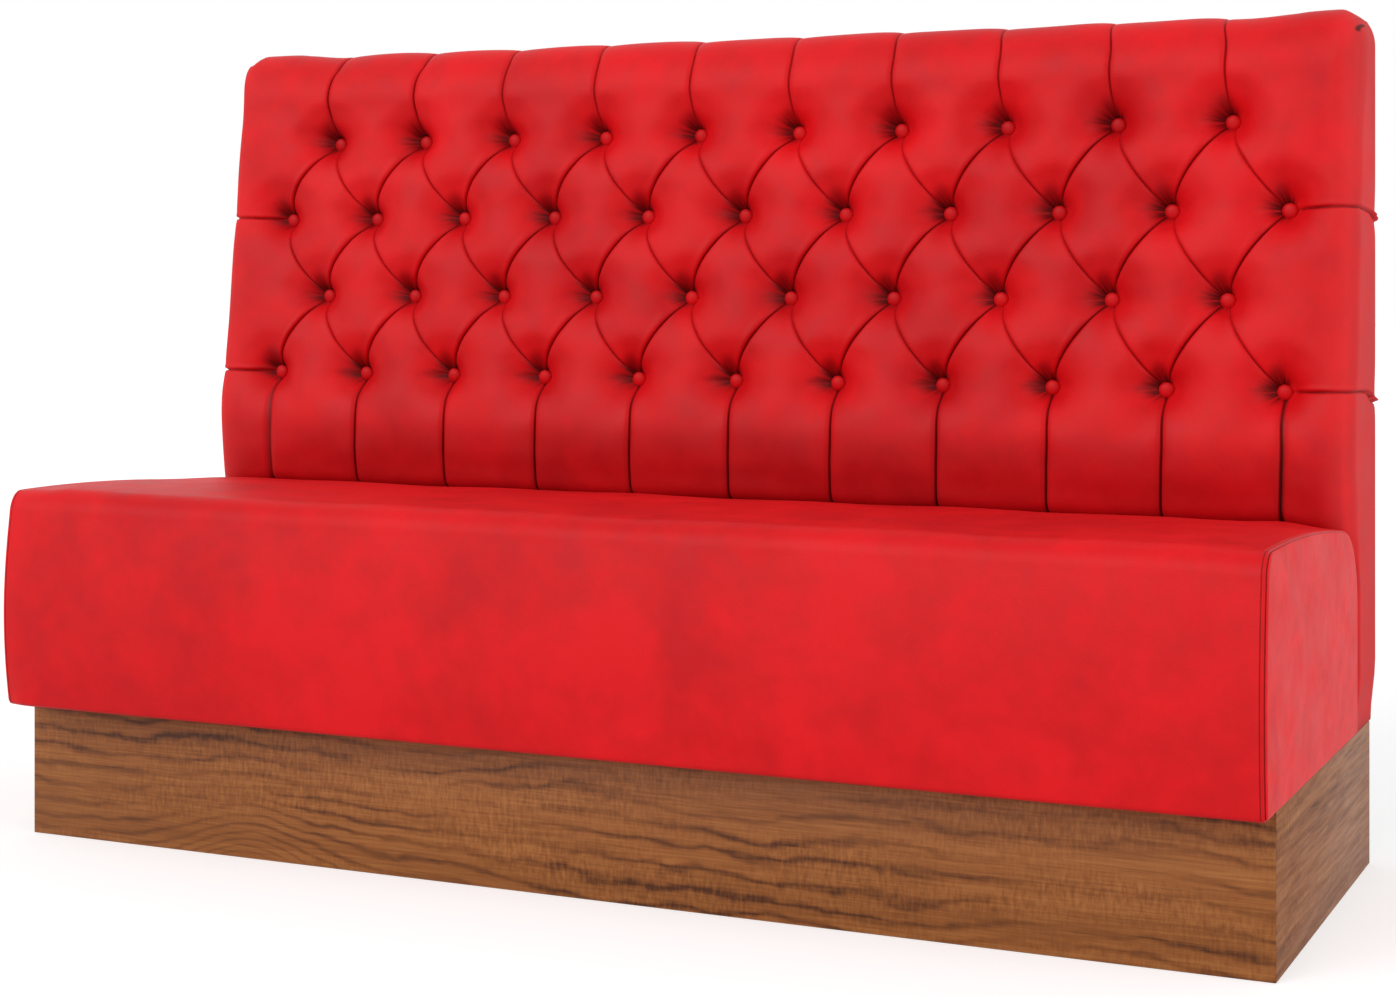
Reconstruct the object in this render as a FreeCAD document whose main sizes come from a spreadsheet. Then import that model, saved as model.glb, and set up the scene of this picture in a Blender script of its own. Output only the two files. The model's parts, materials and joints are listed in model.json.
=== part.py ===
import FreeCAD, Part
import math
import os
import re
import Sketcher
from FreeCAD import Placement, Rotation, Vector

# Upholstered banquette bench: walnut-faced plinth, foam seat on a plywood box and a raked back
# with diamond buttoning over straight channels. Millimetres, Z up.
# Origin: middle of the bench on the floor. The sitter faces -Y, the wall side is +Y.

doc = FreeCAD.newDocument("banquette_bench")
sheet = doc.addObject("Spreadsheet::Sheet", "sizes")

driving = {
    # Whole bench
    "bench_depth": 675,
    "bench_height": 1100,
    "plinth_length": 1682,
    "end_overhang": 4,
    "panel_thickness": 18,
    "cover_thickness": 2,
    "soft_gap": 0.3,
    "cut_overrun": 20,
    # Plinth
    "plinth_height": 184,
    "plinth_setback": 69,
    "plinth_rear_gap": 18,
    "plinth_rear_inset": 24,
    "plinth_rear_rail_height": 150,
    "corner_block_width": 45,
    "corner_block_height": 150,
    "glide_radius": 15,
    "glide_thickness": 5,
    # Seat box
    "front_foam_thickness": 23,
    "seat_foam_thickness": 96,
    "deck_thickness": 12,
    "end_cap_thickness": 7,
    "glue_block_leg": 60,
    "glue_block_height": 90,
    "vent_radius": 14,
    "vent_row_gap": 220,
    "hem_width": 62,
    # Seat cushion outline
    "seat_front_height": 468,
    "seat_fall": 20.5,
    "seat_rear_inset": 124,
    "seat_front_lean": 11,
    "seat_foot_tuck": 4,
    "seat_nose_size": 37,
    "seat_crown": 6.5,
    "seat_rear_corner": 65,
    "seat_end_rear_drop": 22,
    "seat_end_corner_growth": 9,
    "seat_end_top_drop": 2,
    "seat_end_run": 90,
    "seat_edge_size": 2.4,
    "seat_edge_least": 0.3,
    "cap_edge_size": 4.5,
    # Back rake and buttoning
    "rake_angle": 7.76,
    "button_plane_inset": 137,
    "lowest_row_rise": 164.5,
    "top_row_drop": 143.2,
    "button_end_margin": 12.3,
    "button_seat_width": 21.5,
    "button_radius": 10,
    "button_rim": 3,
    "button_dome": 4,
    "tuft_rise_low": 33,
    "tuft_rise_high": 40,
    "pleat_depth": 8,
    "pleat_width": 4,
    "foot_depth": 4,
    "pad_foot_drop": 163,
    # Back outline: thicknesses from the wall side, heights from the seat's rear edge or the top
    "lower_inset": 123,
    "lip_drop": 37.5,
    "foot_rise": 1.5,
    "foot_inset": 163.5,
    "shin_rise": 32.5,
    "shin_inset": 172,
    "belly_rise": 97.5,
    "belly_inset": 178,
    "shoulder_drop": 80,
    "shoulder_inset": 126,
    "top_inset": 62.5,
    "front_corner": 30,
    "rear_corner": 9,
    "top_end_drop": 62,
    "top_end_inset": 38,
    "side_draw": 2.5,
    "hem_draw": 7,
    "hem_draw_height": 120,
    # Back inner build
    "end_wall": 15,
    "pad_base": 5,
    "slab_thickness": 25,
    "board_thickness": 12,
    "tie_width": 2,
    "tie_hole_radius": 3.5,
    "slab_slot_radius": 6,
    "toggle_length": 24,
    "toggle_width": 7,
    "toggle_thickness": 4,
    "frame_drop": 40,
    "rib_inner_step": 2.5,
    "rib_outer_step": 6.5,
    "lower_panel_gap": 12,
    "dust_cloth_thickness": 1,
    "dust_cloth_border": 12,
    # Fixings
    "bolt_radius": 4,
    "bolt_clearance": 0.5,
    "bolt_step": 5.8,
    "bolt_height": 300,
    "bolt_head_radius": 7,
    "bolt_head_height": 5,
    "bolt_tail": 4,
    "washer_radius": 12,
    "washer_thickness": 1.6,
    "nut_radius": 9,
    "nut_thickness": 8,
    "plate_width": 30,
    "plate_height": 90,
    "plate_thickness": 3,
    "plate_offset": 110,
    "screw_radius": 2,
    "screw_length": 14,
    "screw_head_radius": 4,
    "screw_head_height": 2.5,
}

derived = {
    "bench_length": "plinth_length + 2 * end_overhang",
    "bench_half": "bench_length / 2",
    "front_face": "-bench_depth / 2",
    "rear_face": "bench_depth / 2",
    "plinth_front": "front_face + plinth_setback",
    "plinth_rear": "rear_face - plinth_rear_gap",
    "plinth_half": "plinth_length / 2",
    "rear_rail_front": "plinth_rear - plinth_rear_inset - panel_thickness",
    "bearer_offset": "plinth_length / 4",
    "frame_base": "plinth_height + cover_thickness",
    "seat_rear_height": "seat_front_height - seat_fall",
    "seat_rear_end": "rear_face - seat_rear_inset",
    "seat_deck_level": "seat_front_height - seat_foam_thickness",
    "deck_base": "seat_deck_level - deck_thickness",
    "seat_frame_height": "deck_base - frame_base",
    "seat_frame_front": "front_face + cover_thickness + front_foam_thickness",
    "seat_frame_rear": "seat_rear_end - cover_thickness - soft_gap",
    "seat_frame_half": "bench_half - end_cap_thickness",
    "seat_frame_depth": "seat_frame_rear - seat_frame_front",
    "seat_rail_length": "2 * seat_frame_half - 2 * panel_thickness",
    "vent_pitch": "seat_frame_half / 3",
    "seat_front_bulge": "(seat_front_lean + seat_foot_tuck) / 2",
    "button_pitch": "(bench_length - 2 * button_end_margin) / 11",
    "half_pitch": "button_pitch / 2",
    "bolt_pitch": "bolt_step * half_pitch",
    "button_plane_offset": "rear_face - button_plane_inset",
    "lowest_row_height": "seat_rear_height + lowest_row_rise",
    "row_pitch": "(bench_height - top_row_drop - lowest_row_height) / 3 / cos(rake_angle * 1 deg)",
    "lower_front": "rear_face - lower_inset",
    "lip_height": "seat_rear_height - lip_drop",
    "foot_height": "seat_rear_height + foot_rise",
    "foot_front": "rear_face - foot_inset",
    "shin_height": "seat_rear_height + shin_rise",
    "shin_front": "rear_face - shin_inset",
    "belly_height": "seat_rear_height + belly_rise",
    "belly_front": "rear_face - belly_inset",
    "shoulder_height": "bench_height - shoulder_drop",
    "shoulder_front": "rear_face - shoulder_inset",
    "top_front": "rear_face - top_inset",
    "frame_top": "bench_height - frame_drop",
    "lower_panel_top": "lip_height - lower_panel_gap",
    "back_half": "bench_half - end_wall",
    "board_front": "pad_base + slab_thickness",
    "board_rear": "board_front + board_thickness",
    "frame_rear": "rear_face - dust_cloth_thickness",
    "screw_step": "plate_height / 4",
    "lower_panel_rear": "lower_front + panel_thickness",
    "back_base": "plinth_height + panel_thickness",
    "top_rail_top": "frame_top + panel_thickness",
    "lean": "sin(rake_angle * 1 deg)",
    "stand": "cos(rake_angle * 1 deg)",
    "plate_height_on_slope": "(frame_top - lowest_row_height) / stand + pad_foot_drop",
    "rib_foot_y": "button_plane_offset - pad_foot_drop * lean + board_rear * stand",
    "rib_foot_z": "lowest_row_height - pad_foot_drop * stand - board_rear * lean",
    "rib_head_y": "rib_foot_y + (frame_top - rib_foot_z) * lean / stand",
}

aliases = set(driving) | set(derived)
for row, (name, size) in enumerate(driving.items(), start=1):
    sheet.set("A%d" % row, name)
    sheet.set("B%d" % row, str(size))
    sheet.setAlias("B%d" % row, name)
doc.recompute()
for row, (name, formula) in enumerate(derived.items(), start=len(driving) + 1):
    sheet.set("A%d" % row, name)
    sheet.set("B%d" % row, "=" + formula)
    sheet.setAlias("B%d" % row, name)
doc.recompute()

parts = []


def value(expression):
    return float(sheet.evalExpression(expression))


def bound(expression):
    return re.sub(r"[a-z_]+", lambda word: "sizes." * (word.group() in aliases) + word.group(), expression)


def place(piece, corner):
    for axis, expression in zip("xyz", corner):
        piece.setExpression("Placement.Base." + axis, bound(expression))


def keep(piece):
    parts.append(piece)
    return piece


def block(name, size, corner):
    """A square-edged board: three sizes and its low corner, all as sheet expressions."""
    box = doc.addObject("Part::Box", name)
    for side, expression in zip(("Length", "Width", "Height"), size):
        box.setExpression(side, bound(expression))
    place(box, corner)
    return keep(box)


def new_sketch(body, name, plane):
    sketch = body.newObject("Sketcher::SketchObject", name)
    origin_plane = next(item for item in body.Origin.OriginFeatures if item.Role == plane)
    sketch.AttachmentSupport = (origin_plane, [""])
    sketch.MapMode = "FlatFace"
    return sketch


def pin(sketch, geometry, point, position):
    for kind, expression in zip(("DistanceX", "DistanceY"), position):
        constraint = Sketcher.Constraint(kind, -1, 1, geometry, point, value(expression))
        index = sketch.addConstraint(constraint)
        sketch.setExpression("Constraints[%d]" % index, bound(expression))


def polygon(sketch, corners):
    spots = [Vector(value(across), value(up), 0) for across, up in corners]
    for start, end in zip(spots, spots[1:] + spots[:1]):
        sketch.addGeometry(Part.LineSegment(start, end))
    for side in range(len(corners)):
        follower = (side + 1) % len(corners)
        sketch.addConstraint(Sketcher.Constraint("Coincident", side, 2, follower, 1))
        pin(sketch, side, 1, corners[side])


def polygon_pad(name, plane, corners, thickness, corner=("0", "0", "0"), rearward=False):
    """A board sawn to a straight-sided outline: sketch on an origin plane, then a pad."""
    body = doc.addObject("PartDesign::Body", name)
    sketch = new_sketch(body, name + "_outline", plane)
    polygon(sketch, corners)
    pad = body.newObject("PartDesign::Pad", name + "_pad")
    pad.Profile = sketch
    pad.Reversed = rearward
    pad.setExpression("Length", bound(thickness))
    body.Tip = pad
    place(body, corner)
    doc.recompute()
    return keep(body)


def drill(body, name, plane, centre, radius, spacing, count, row_spacing, rows, sides, flipped=False):
    """Many-sided holes through the board, repeated along its length and in rows across it."""
    before = body.Shape.Volume
    sketch = new_sketch(body, name + "_centre", plane)
    turn = 360 / sides
    rim = [
        ("%s + (%s) * cos(%s deg)" % (centre[0], radius, turn * (step + 0.5)),
         "%s + (%s) * sin(%s deg)" % (centre[1], radius, turn * (step + 0.5)))
        for step in range(sides)
    ]
    polygon(sketch, rim)
    pocket = body.newObject("PartDesign::Pocket", name + "_pocket")
    pocket.Profile = sketch
    pocket.Type = "ThroughAll"
    pocket.Reversed = flipped
    doc.recompute()
    pattern = body.newObject("PartDesign::LinearPattern", name + "_pattern")
    pattern.Originals = [pocket]
    pattern.Direction = (sketch, ["H_Axis"])
    pattern.Occurrences = count
    pattern.setExpression("Length", bound("(%s) * %d" % (spacing, count - 1)))
    if rows > 1:
        pattern.Direction2 = (sketch, ["V_Axis"])
        pattern.Occurrences2 = rows
        pattern.setExpression("Length2", bound("(%s) * %d" % (row_spacing, rows - 1)))
    body.Tip = pattern
    doc.recompute()
    if not body.Shape.Volume < before:
        raise RuntimeError(name + " cuts nothing")


def bolt_row(board, name):
    """Clearance holes for the bolts between back and seat."""
    bore = "bolt_radius + bolt_clearance"
    drill(board, name, "XZ_Plane", first_bolt, bore, "bolt_pitch", bolt_count, "0", 1, bore_sides)


def pilot_holes(board, name, height):
    """Two holes through a bearer or rail, front and rear, for the fixing plate screws."""
    first = ("-plate_offset", height)
    spacing = "2 * plate_offset"
    drill(board, name, "YZ_Plane", first, "screw_radius", spacing, 2, "0", 1, screw_sides, flipped=True)


def shaped(name, shape):
    piece = doc.addObject("Part::Feature", name)
    piece.Shape = shape
    return keep(piece)


# Small round things are polygons with so many sides
screw_sides = 6
bore_sides = 8
button_sides = 12
glide_sides = 16
bolt_count = 4
first_bolt = ("-bolt_pitch * %s" % ((bolt_count - 1) / 2), "bolt_height")

# Raked frame of the back: v climbs the slope from the lowest button row,
# n goes from the button seats towards the wall.
rake = math.radians(value("rake_angle"))
up_slope = Vector(0, math.sin(rake), math.cos(rake))
to_wall = Vector(0, math.cos(rake), -math.sin(rake))
row_four = Vector(0, value("button_plane_offset"), value("lowest_row_height"))
slope_placement = Placement(row_four, Rotation(Vector(1, 0, 0), -value("rake_angle")))
half_pitch = value("half_pitch")
end_column = 11
whole_columns = range(1 - end_column, end_column, 2)
between_columns = range(2 - end_column, end_column - 1, 2)
button_rows = [(0, whole_columns), (1, between_columns), (2, whole_columns), (3, between_columns)]


def raked(v, n):
    return row_four + up_slope * v + to_wall * n


def button_spots():
    for row, columns in button_rows:
        for column in columns:
            yield column * half_pitch, row * value("row_pitch")


def grouped(name, seed, placements):
    """Like pieces that share one node: the same solid set down at each place."""
    copies = []
    for placement in placements:
        copy = seed.copy()
        copy.Placement = placement.multiply(seed.Placement)
        copies.append(copy)
    return shaped(name, Part.makeCompound(copies))


def prism(sides, radius, length):
    """An upright regular prism from the origin, its corners on the given radius."""
    rim = [Vector(radius * math.cos(turn), radius * math.sin(turn), 0)
           for turn in (2 * math.pi * (step + 0.5) / sides for step in range(sides))]
    return Part.Face(Part.makePolygon(rim + rim[:1])).extrude(Vector(0, 0, length))


def tube(sides, radius, bore, length):
    return prism(sides, radius, length).cut(prism(screw_sides, bore, length))


# Plinth

def plinth():
    front_outline = [
        ("-plinth_half", "plinth_front"),
        ("plinth_half", "plinth_front"),
        ("plinth_half - panel_thickness", "plinth_front + panel_thickness"),
        ("-plinth_half + panel_thickness", "plinth_front + panel_thickness"),
    ]
    polygon_pad("plinth_front_panel", "XY_Plane", front_outline, "plinth_height")
    for side, sign in (("left", "-"), ("right", "")):
        outer = sign + "plinth_half"
        inner = sign + "(plinth_half - panel_thickness)"
        end_outline = [
            (outer, "plinth_front"),
            (outer, "plinth_rear"),
            (inner, "plinth_rear"),
            (inner, "plinth_front + panel_thickness"),
        ]
        polygon_pad("plinth_%s_end_panel" % side, "XY_Plane", end_outline, "plinth_height")
    inside = "plinth_length - 2 * panel_thickness"
    block(
        "plinth_rear_rail",
        (inside, "panel_thickness", "plinth_rear_rail_height"),
        ("-plinth_half + panel_thickness", "rear_rail_front", "plinth_height - plinth_rear_rail_height"),
    )
    block(
        "plinth_centre_bearer",
        ("panel_thickness", "rear_rail_front - plinth_front - panel_thickness", "plinth_height"),
        ("-panel_thickness / 2", "plinth_front + panel_thickness", "0"),
    )
    bearer_outline = [
        ("plinth_front + panel_thickness", "0"),
        ("rear_rail_front", "0"),
        ("rear_rail_front", "plinth_height"),
        ("plinth_front + panel_thickness", "plinth_height"),
    ]
    for side, middle in (("left", "-bearer_offset"), ("right", "bearer_offset")):
        corner = (middle + " - panel_thickness / 2", "0", "0")
        bearer = polygon_pad("plinth_%s_bearer" % side, "YZ_Plane", bearer_outline, "panel_thickness", corner)
        pilot_holes(bearer, "plinth_%s_pilots" % side, "plinth_height - screw_step")
    width = value("corner_block_width")
    inner_half = value("plinth_half - panel_thickness")
    near = value("plinth_front + panel_thickness")
    far = value("rear_rail_front") - width
    base = value("glide_thickness")
    corners = [(x, y) for x in (-inner_half, inner_half - width) for y in (near, far)]
    post = Part.makeBox(width, width, value("corner_block_height"), Vector(0, 0, base))
    grouped("plinth_corner_blocks", post, [Placement(Vector(x, y, 0), Rotation()) for x, y in corners])
    glide = prism(glide_sides, value("glide_radius"), base)
    middles = [(x + width / 2, y + width / 2) for x, y in corners]
    grouped("floor_glides", glide, [Placement(Vector(x, y, 0), Rotation()) for x, y in middles])


# Seat

def seat_frame():
    rail_corner = "-seat_rail_length / 2"
    block(
        "seat_front_rail",
        ("seat_rail_length", "panel_thickness", "seat_frame_height"),
        (rail_corner, "seat_frame_front", "frame_base"),
    )
    rear_outline = [
        (rail_corner, "frame_base"),
        ("seat_rail_length / 2", "frame_base"),
        ("seat_rail_length / 2", "deck_base"),
        (rail_corner, "deck_base"),
    ]
    rear_rail = polygon_pad(
        "seat_rear_rail", "XZ_Plane", rear_outline, "panel_thickness",
        ("0", "seat_frame_rear - panel_thickness", "0"), rearward=True,
    )
    bolt_row(rear_rail, "rail_bolt_holes")
    for side, low_x in (("left", "-seat_frame_half"), ("right", "seat_frame_half - panel_thickness")):
        block(
            "seat_%s_end_board" % side,
            ("panel_thickness", "seat_frame_depth", "seat_frame_height"),
            (low_x, "seat_frame_front", "frame_base"),
        )
    cross_outline = [
        ("seat_frame_front + panel_thickness", "frame_base"),
        ("seat_frame_rear - panel_thickness", "frame_base"),
        ("seat_frame_rear - panel_thickness", "deck_base"),
        ("seat_frame_front + panel_thickness", "deck_base"),
    ]
    for side, middle in (("left", "-bearer_offset"), ("right", "bearer_offset")):
        corner = (middle + " - panel_thickness / 2", "0", "0")
        rail = polygon_pad("seat_%s_cross_rail" % side, "YZ_Plane", cross_outline, "panel_thickness", corner)
        pilot_holes(rail, "seat_%s_pilots" % side, "plinth_height + screw_step")
    deck_outline = [
        ("-seat_frame_half", "seat_frame_front"),
        ("seat_frame_half", "seat_frame_front"),
        ("seat_frame_half", "seat_frame_rear"),
        ("-seat_frame_half", "seat_frame_rear"),
    ]
    deck = polygon_pad("seat_deck", "XY_Plane", deck_outline, "deck_thickness", ("0", "0", "deck_base"))
    first_vent = ("-vent_pitch", "(seat_frame_front + seat_frame_rear - vent_row_gap) / 2")
    drill(
        deck, "deck_vents", "XY_Plane", first_vent, "vent_radius",
        "vent_pitch", 3, "vent_row_gap", 2, button_sides, flipped=True,
    )
    leg = value("glue_block_leg")
    half = value("seat_rail_length / 2")
    near = value("seat_frame_front + panel_thickness")
    far = value("seat_frame_rear - panel_thickness")
    top = value("deck_base - glue_block_height")
    triangle = Part.makePolygon([Vector(0, 0, 0), Vector(leg, 0, 0), Vector(0, leg, 0), Vector(0, 0, 0)])
    seed = Part.Face(triangle).extrude(Vector(0, 0, value("glue_block_height")))
    corners = [(-half, near, 0), (half, near, 90), (half, far, 180), (-half, far, 270)]
    spots = [Placement(Vector(x, y, top), Rotation(Vector(0, 0, 1), turn)) for x, y, turn in corners]
    grouped("seat_corner_blocks", seed, spots)


def bowed(start, end, rise):
    """An arc from start to end that stands out by rise on the left of its direction."""
    across = end - start
    out = Vector(0, -across.z, across.y).normalize()
    return Part.Arc(start, (start + end) * 0.5 + out * rise, end).toShape()


def rounded(start, end):
    """A quarter-round corner from start to end, standing out on the left."""
    quarter_share = (math.sqrt(2) - 1) / 2
    return bowed(start, end, (end - start).Length * quarter_share)


def seat_outline(x, drop_share, inset):
    """Cushion section at x, counter-clockwise seen from the left end; inset shrinks it."""
    front = value("front_face") + inset
    rear = value("seat_rear_end") - inset
    base = value("plinth_height") + inset
    edge = max(value("seat_edge_size") - inset, value("seat_edge_least"))
    nose = value("seat_nose_size") - inset / 2
    corner = value("seat_rear_corner") + value("seat_end_corner_growth") * drop_share - inset / 2
    front_top = value("seat_front_height") - value("seat_end_top_drop") * drop_share - inset
    rear_top = value("seat_rear_height") - value("seat_end_top_drop") * drop_share - inset
    lean = value("seat_front_lean")
    tuck = value("seat_foot_tuck")
    bulge = value("seat_front_bulge")
    nose_share = 0.8
    rear_drop = corner + value("seat_end_rear_drop") * drop_share
    front_foot = Vector(x, front + tuck, base + edge)
    nose_start = Vector(x, front + lean, front_top - nose)
    nose_end = Vector(x, front + lean + nose * nose_share, front_top)
    corner_start = Vector(x, rear - corner, rear_top)
    corner_end = Vector(x, rear, rear_top - rear_drop)
    rear_foot = Vector(x, rear, base + edge)
    rear_sole = Vector(x, rear - edge, base)
    front_sole = Vector(x, front + tuck + edge, base)
    edges = [
        bowed(front_foot, nose_start, bulge),
        rounded(nose_start, nose_end),
        bowed(nose_end, corner_start, value("seat_crown")),
        rounded(corner_start, corner_end),
        Part.LineSegment(corner_end, rear_foot).toShape(),
        rounded(rear_foot, rear_sole),
        Part.LineSegment(rear_sole, front_sole).toShape(),
        rounded(front_sole, front_foot),
    ]
    return Part.Wire(edges)


def seat_form(inset, half):
    """Cushion body: full in the middle, drawn in towards both ends."""
    run = value("seat_end_run")
    stations = [(-half, 1), (-half + run, 0), (half - run, 0), (half, 1)]
    return Part.makeLoft([seat_outline(x, share, inset) for x, share in stations], True, True)


def seat_cushion():
    half = value("seat_frame_half")
    over = value("cut_overrun")
    cover = value("cover_thickness")
    front = value("front_face")
    hollow = seat_form(cover, half)
    slot_front = front + value("hem_width")
    slot_depth = value("seat_rear_end") - value("hem_width") - slot_front
    slot_base = value("plinth_height") - over
    slot_corner = Vector(-half - over, slot_front, slot_base)
    slot = Part.makeBox(2 * half + 2 * over, slot_depth, over + 2 * cover, slot_corner)
    cover_shape = seat_form(0, half).cut(hollow).cut(slot)
    bolt_height = value("bolt_height")
    bore = laid_back(prism(bore_sides, value("bolt_radius + bolt_clearance"), 2 * over))
    for x in bolt_places():
        drill_hole = bore.copy()
        drill_hole.translate(Vector(x, value("seat_frame_rear") - over, bolt_height))
        cover_shape = cover_shape.cut(drill_hole)
    shaped("seat_cover", cover_shape)
    filling = seat_form(cover + value("soft_gap"), half)
    deck = value("seat_deck_level")
    tall = value("bench_height") - deck
    deep = value("bench_depth")
    upper = Part.makeBox(2 * half, deep, tall, Vector(-half, front, deck))
    shaped("seat_foam", filling.common(upper))
    base = value("frame_base + soft_gap")
    lower = Part.makeBox(2 * half, value("seat_frame_front") - front, deck - base, Vector(-half, front, base))
    shaped("seat_front_foam", filling.common(lower))
    edge = value("cap_edge_size")
    thick = value("end_cap_thickness")
    for side, sign in (("left", -1), ("right", 1)):
        # The cap leaves the seam full size and rolls over at its rim.
        middle = edge * (1 - math.sqrt(0.5))
        rim = [(half, 0), (half + thick - edge, 0), (half + thick - middle, middle), (half + thick, edge)]
        wires = [seat_outline(sign * x, 1, inset) for x, inset in rim]
        shaped("seat_%s_end_cap" % side, Part.makeLoft(wires, True, True))


def laid_back(shape):
    """Lay an upright turned piece down so that it runs towards the wall."""
    return shape.rotated(Vector(0, 0, 0), Vector(1, 0, 0), -90)


def bolt_places():
    return [value("bolt_pitch") * (step - (bolt_count - 1) / 2) for step in range(bolt_count)]


# Back frame

def back_frame():
    rib_outline = [
        ("lower_panel_rear", "back_base"),
        ("frame_rear", "back_base"),
        ("frame_rear", "frame_top"),
        ("rib_head_y", "frame_top"),
        ("rib_foot_y", "rib_foot_z"),
        ("rib_foot_y", "lower_panel_top"),
        ("lower_panel_rear", "lower_panel_top"),
    ]
    ribs = {
        "back_left_end_rib": "-back_half",
        "back_outer_left_rib": "-rib_outer_step * half_pitch - panel_thickness / 2",
        "back_inner_left_rib": "-rib_inner_step * half_pitch - panel_thickness / 2",
        "back_inner_right_rib": "rib_inner_step * half_pitch - panel_thickness / 2",
        "back_outer_right_rib": "rib_outer_step * half_pitch - panel_thickness / 2",
        "back_right_end_rib": "back_half - panel_thickness",
    }
    for name, place_x in ribs.items():
        polygon_pad(name, "YZ_Plane", rib_outline, "panel_thickness", (place_x, "0", "0"))
    block(
        "back_top_rail",
        ("2 * back_half", "frame_rear - rib_head_y", "panel_thickness"),
        ("-back_half", "rib_head_y", "frame_top"),
    )
    block(
        "back_bottom_rail",
        ("2 * back_half", "frame_rear - lower_panel_rear", "panel_thickness"),
        ("-back_half", "lower_panel_rear", "plinth_height"),
    )
    panel_outline = [
        ("-back_half", "plinth_height"),
        ("back_half", "plinth_height"),
        ("back_half", "lower_panel_top"),
        ("-back_half", "lower_panel_top"),
    ]
    panel = polygon_pad(
        "back_lower_panel", "XZ_Plane", panel_outline, "panel_thickness",
        ("0", "lower_front", "0"), rearward=True,
    )
    bolt_row(panel, "panel_bolt_holes")
    cloth_height = "top_rail_top - plinth_height - dust_cloth_border"
    block(
        "back_dust_cloth",
        ("bench_length - 2 * dust_cloth_border", "dust_cloth_thickness", cloth_height),
        ("-bench_half + dust_cloth_border", "frame_rear", "plinth_height + dust_cloth_border"),
    )


def raked_plate(name, front, thickness, radius, sides):
    """A plate on the slope of the back with a hole for each button tie."""
    outline = [
        ("-back_half", "-pad_foot_drop"),
        ("back_half", "-pad_foot_drop"),
        ("back_half", "plate_height_on_slope - pad_foot_drop"),
        ("-back_half", "plate_height_on_slope - pad_foot_drop"),
    ]
    plate = polygon_pad(name, "XZ_Plane", outline, thickness, rearward=True)
    for row, columns in button_rows[:2]:
        first = ("%d * half_pitch" % columns[0], "%d * row_pitch" % row)
        label = "%s_rows_%d" % (name, row)
        count = len(columns)
        drill(plate, label, "XZ_Plane", first, radius, "button_pitch", count, "2 * row_pitch", 2, sides)
    plate.Placement = Placement(Vector(), Rotation(Vector(-1, 0, 0), value("rake_angle")))
    plate.setExpression("Placement.Rotation.Angle", bound("rake_angle"))
    y_place = "button_plane_offset + (%s) * stand" % front
    z_place = "lowest_row_height - (%s) * lean" % front
    place(plate, ("0", y_place, z_place))


def button_sets():
    """Covered buttons in their four rows, each tied through slab and board to a bar behind."""
    dome_share = 0.55
    radius = value("button_radius")
    rim = value("button_rim")
    rings = [(radius, 0), (radius, rim), (radius * dome_share, rim + value("button_dome"))]
    outlines = []
    for size, height in rings:
        turns = [2 * math.pi * (step + 0.5) / button_sides for step in range(button_sides)]
        points = [Vector(size * math.cos(turn), -height, size * math.sin(turn)) for turn in turns]
        outlines.append(Part.makePolygon(points + points[:1]))
    button = Part.makeLoft(outlines, True, True)
    for number, (row, columns) in enumerate(reversed(button_rows), start=1):
        height = row * value("row_pitch")
        seats = [Placement(Vector(column * half_pitch, 0, height), Rotation()) for column in columns]
        grouped("back_buttons_row_%d" % number, button, [slope_placement.multiply(seat) for seat in seats])
    seats = [Placement(Vector(x, 0, v), Rotation()) for x, v in button_spots()]
    places = [slope_placement.multiply(seat) for seat in seats]
    width = value("tie_width")
    tie = Part.makeBox(width, value("board_rear"), width, Vector(-width / 2, 0, -width / 2))
    grouped("button_ties", tie, places)
    length = value("toggle_length")
    tall = value("toggle_width")
    toggle_base = Vector(-length / 2, value("board_rear"), -tall / 2)
    toggle = Part.makeBox(length, value("toggle_thickness"), tall, toggle_base)
    grouped("button_toggles", toggle, places)


# Tufted cover of the back

cell_steps = 4
corner_steps = 3


def seam_places(mix, half_gap):
    """X of the pleat seams. mix 0: gaps on the whole columns, 1: on the columns between."""
    seams = []
    for column in range(-end_column, end_column):
        left, right = column * half_pitch, (column + 1) * half_pitch
        on_left, on_right = left + half_gap, right - half_gap
        if column % 2 == 0:
            whole, between = on_left, on_right
        else:
            whole, between = on_right, on_left
        if column in (-end_column, end_column - 1):
            between = whole
        seams.append(whole * (1 - mix) + between * mix)
    return seams


def quarter(centre_x, centre_y, radius, first_angle, height):
    """Corner points of a quarter round, first and last included."""
    points = []
    for step in range(corner_steps + 1):
        angle = math.radians(first_angle + 90 * step / corner_steps)
        x = centre_x + radius * math.cos(angle)
        points.append(Vector(x, centre_y + radius * math.sin(angle), height))
    return points


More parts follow.
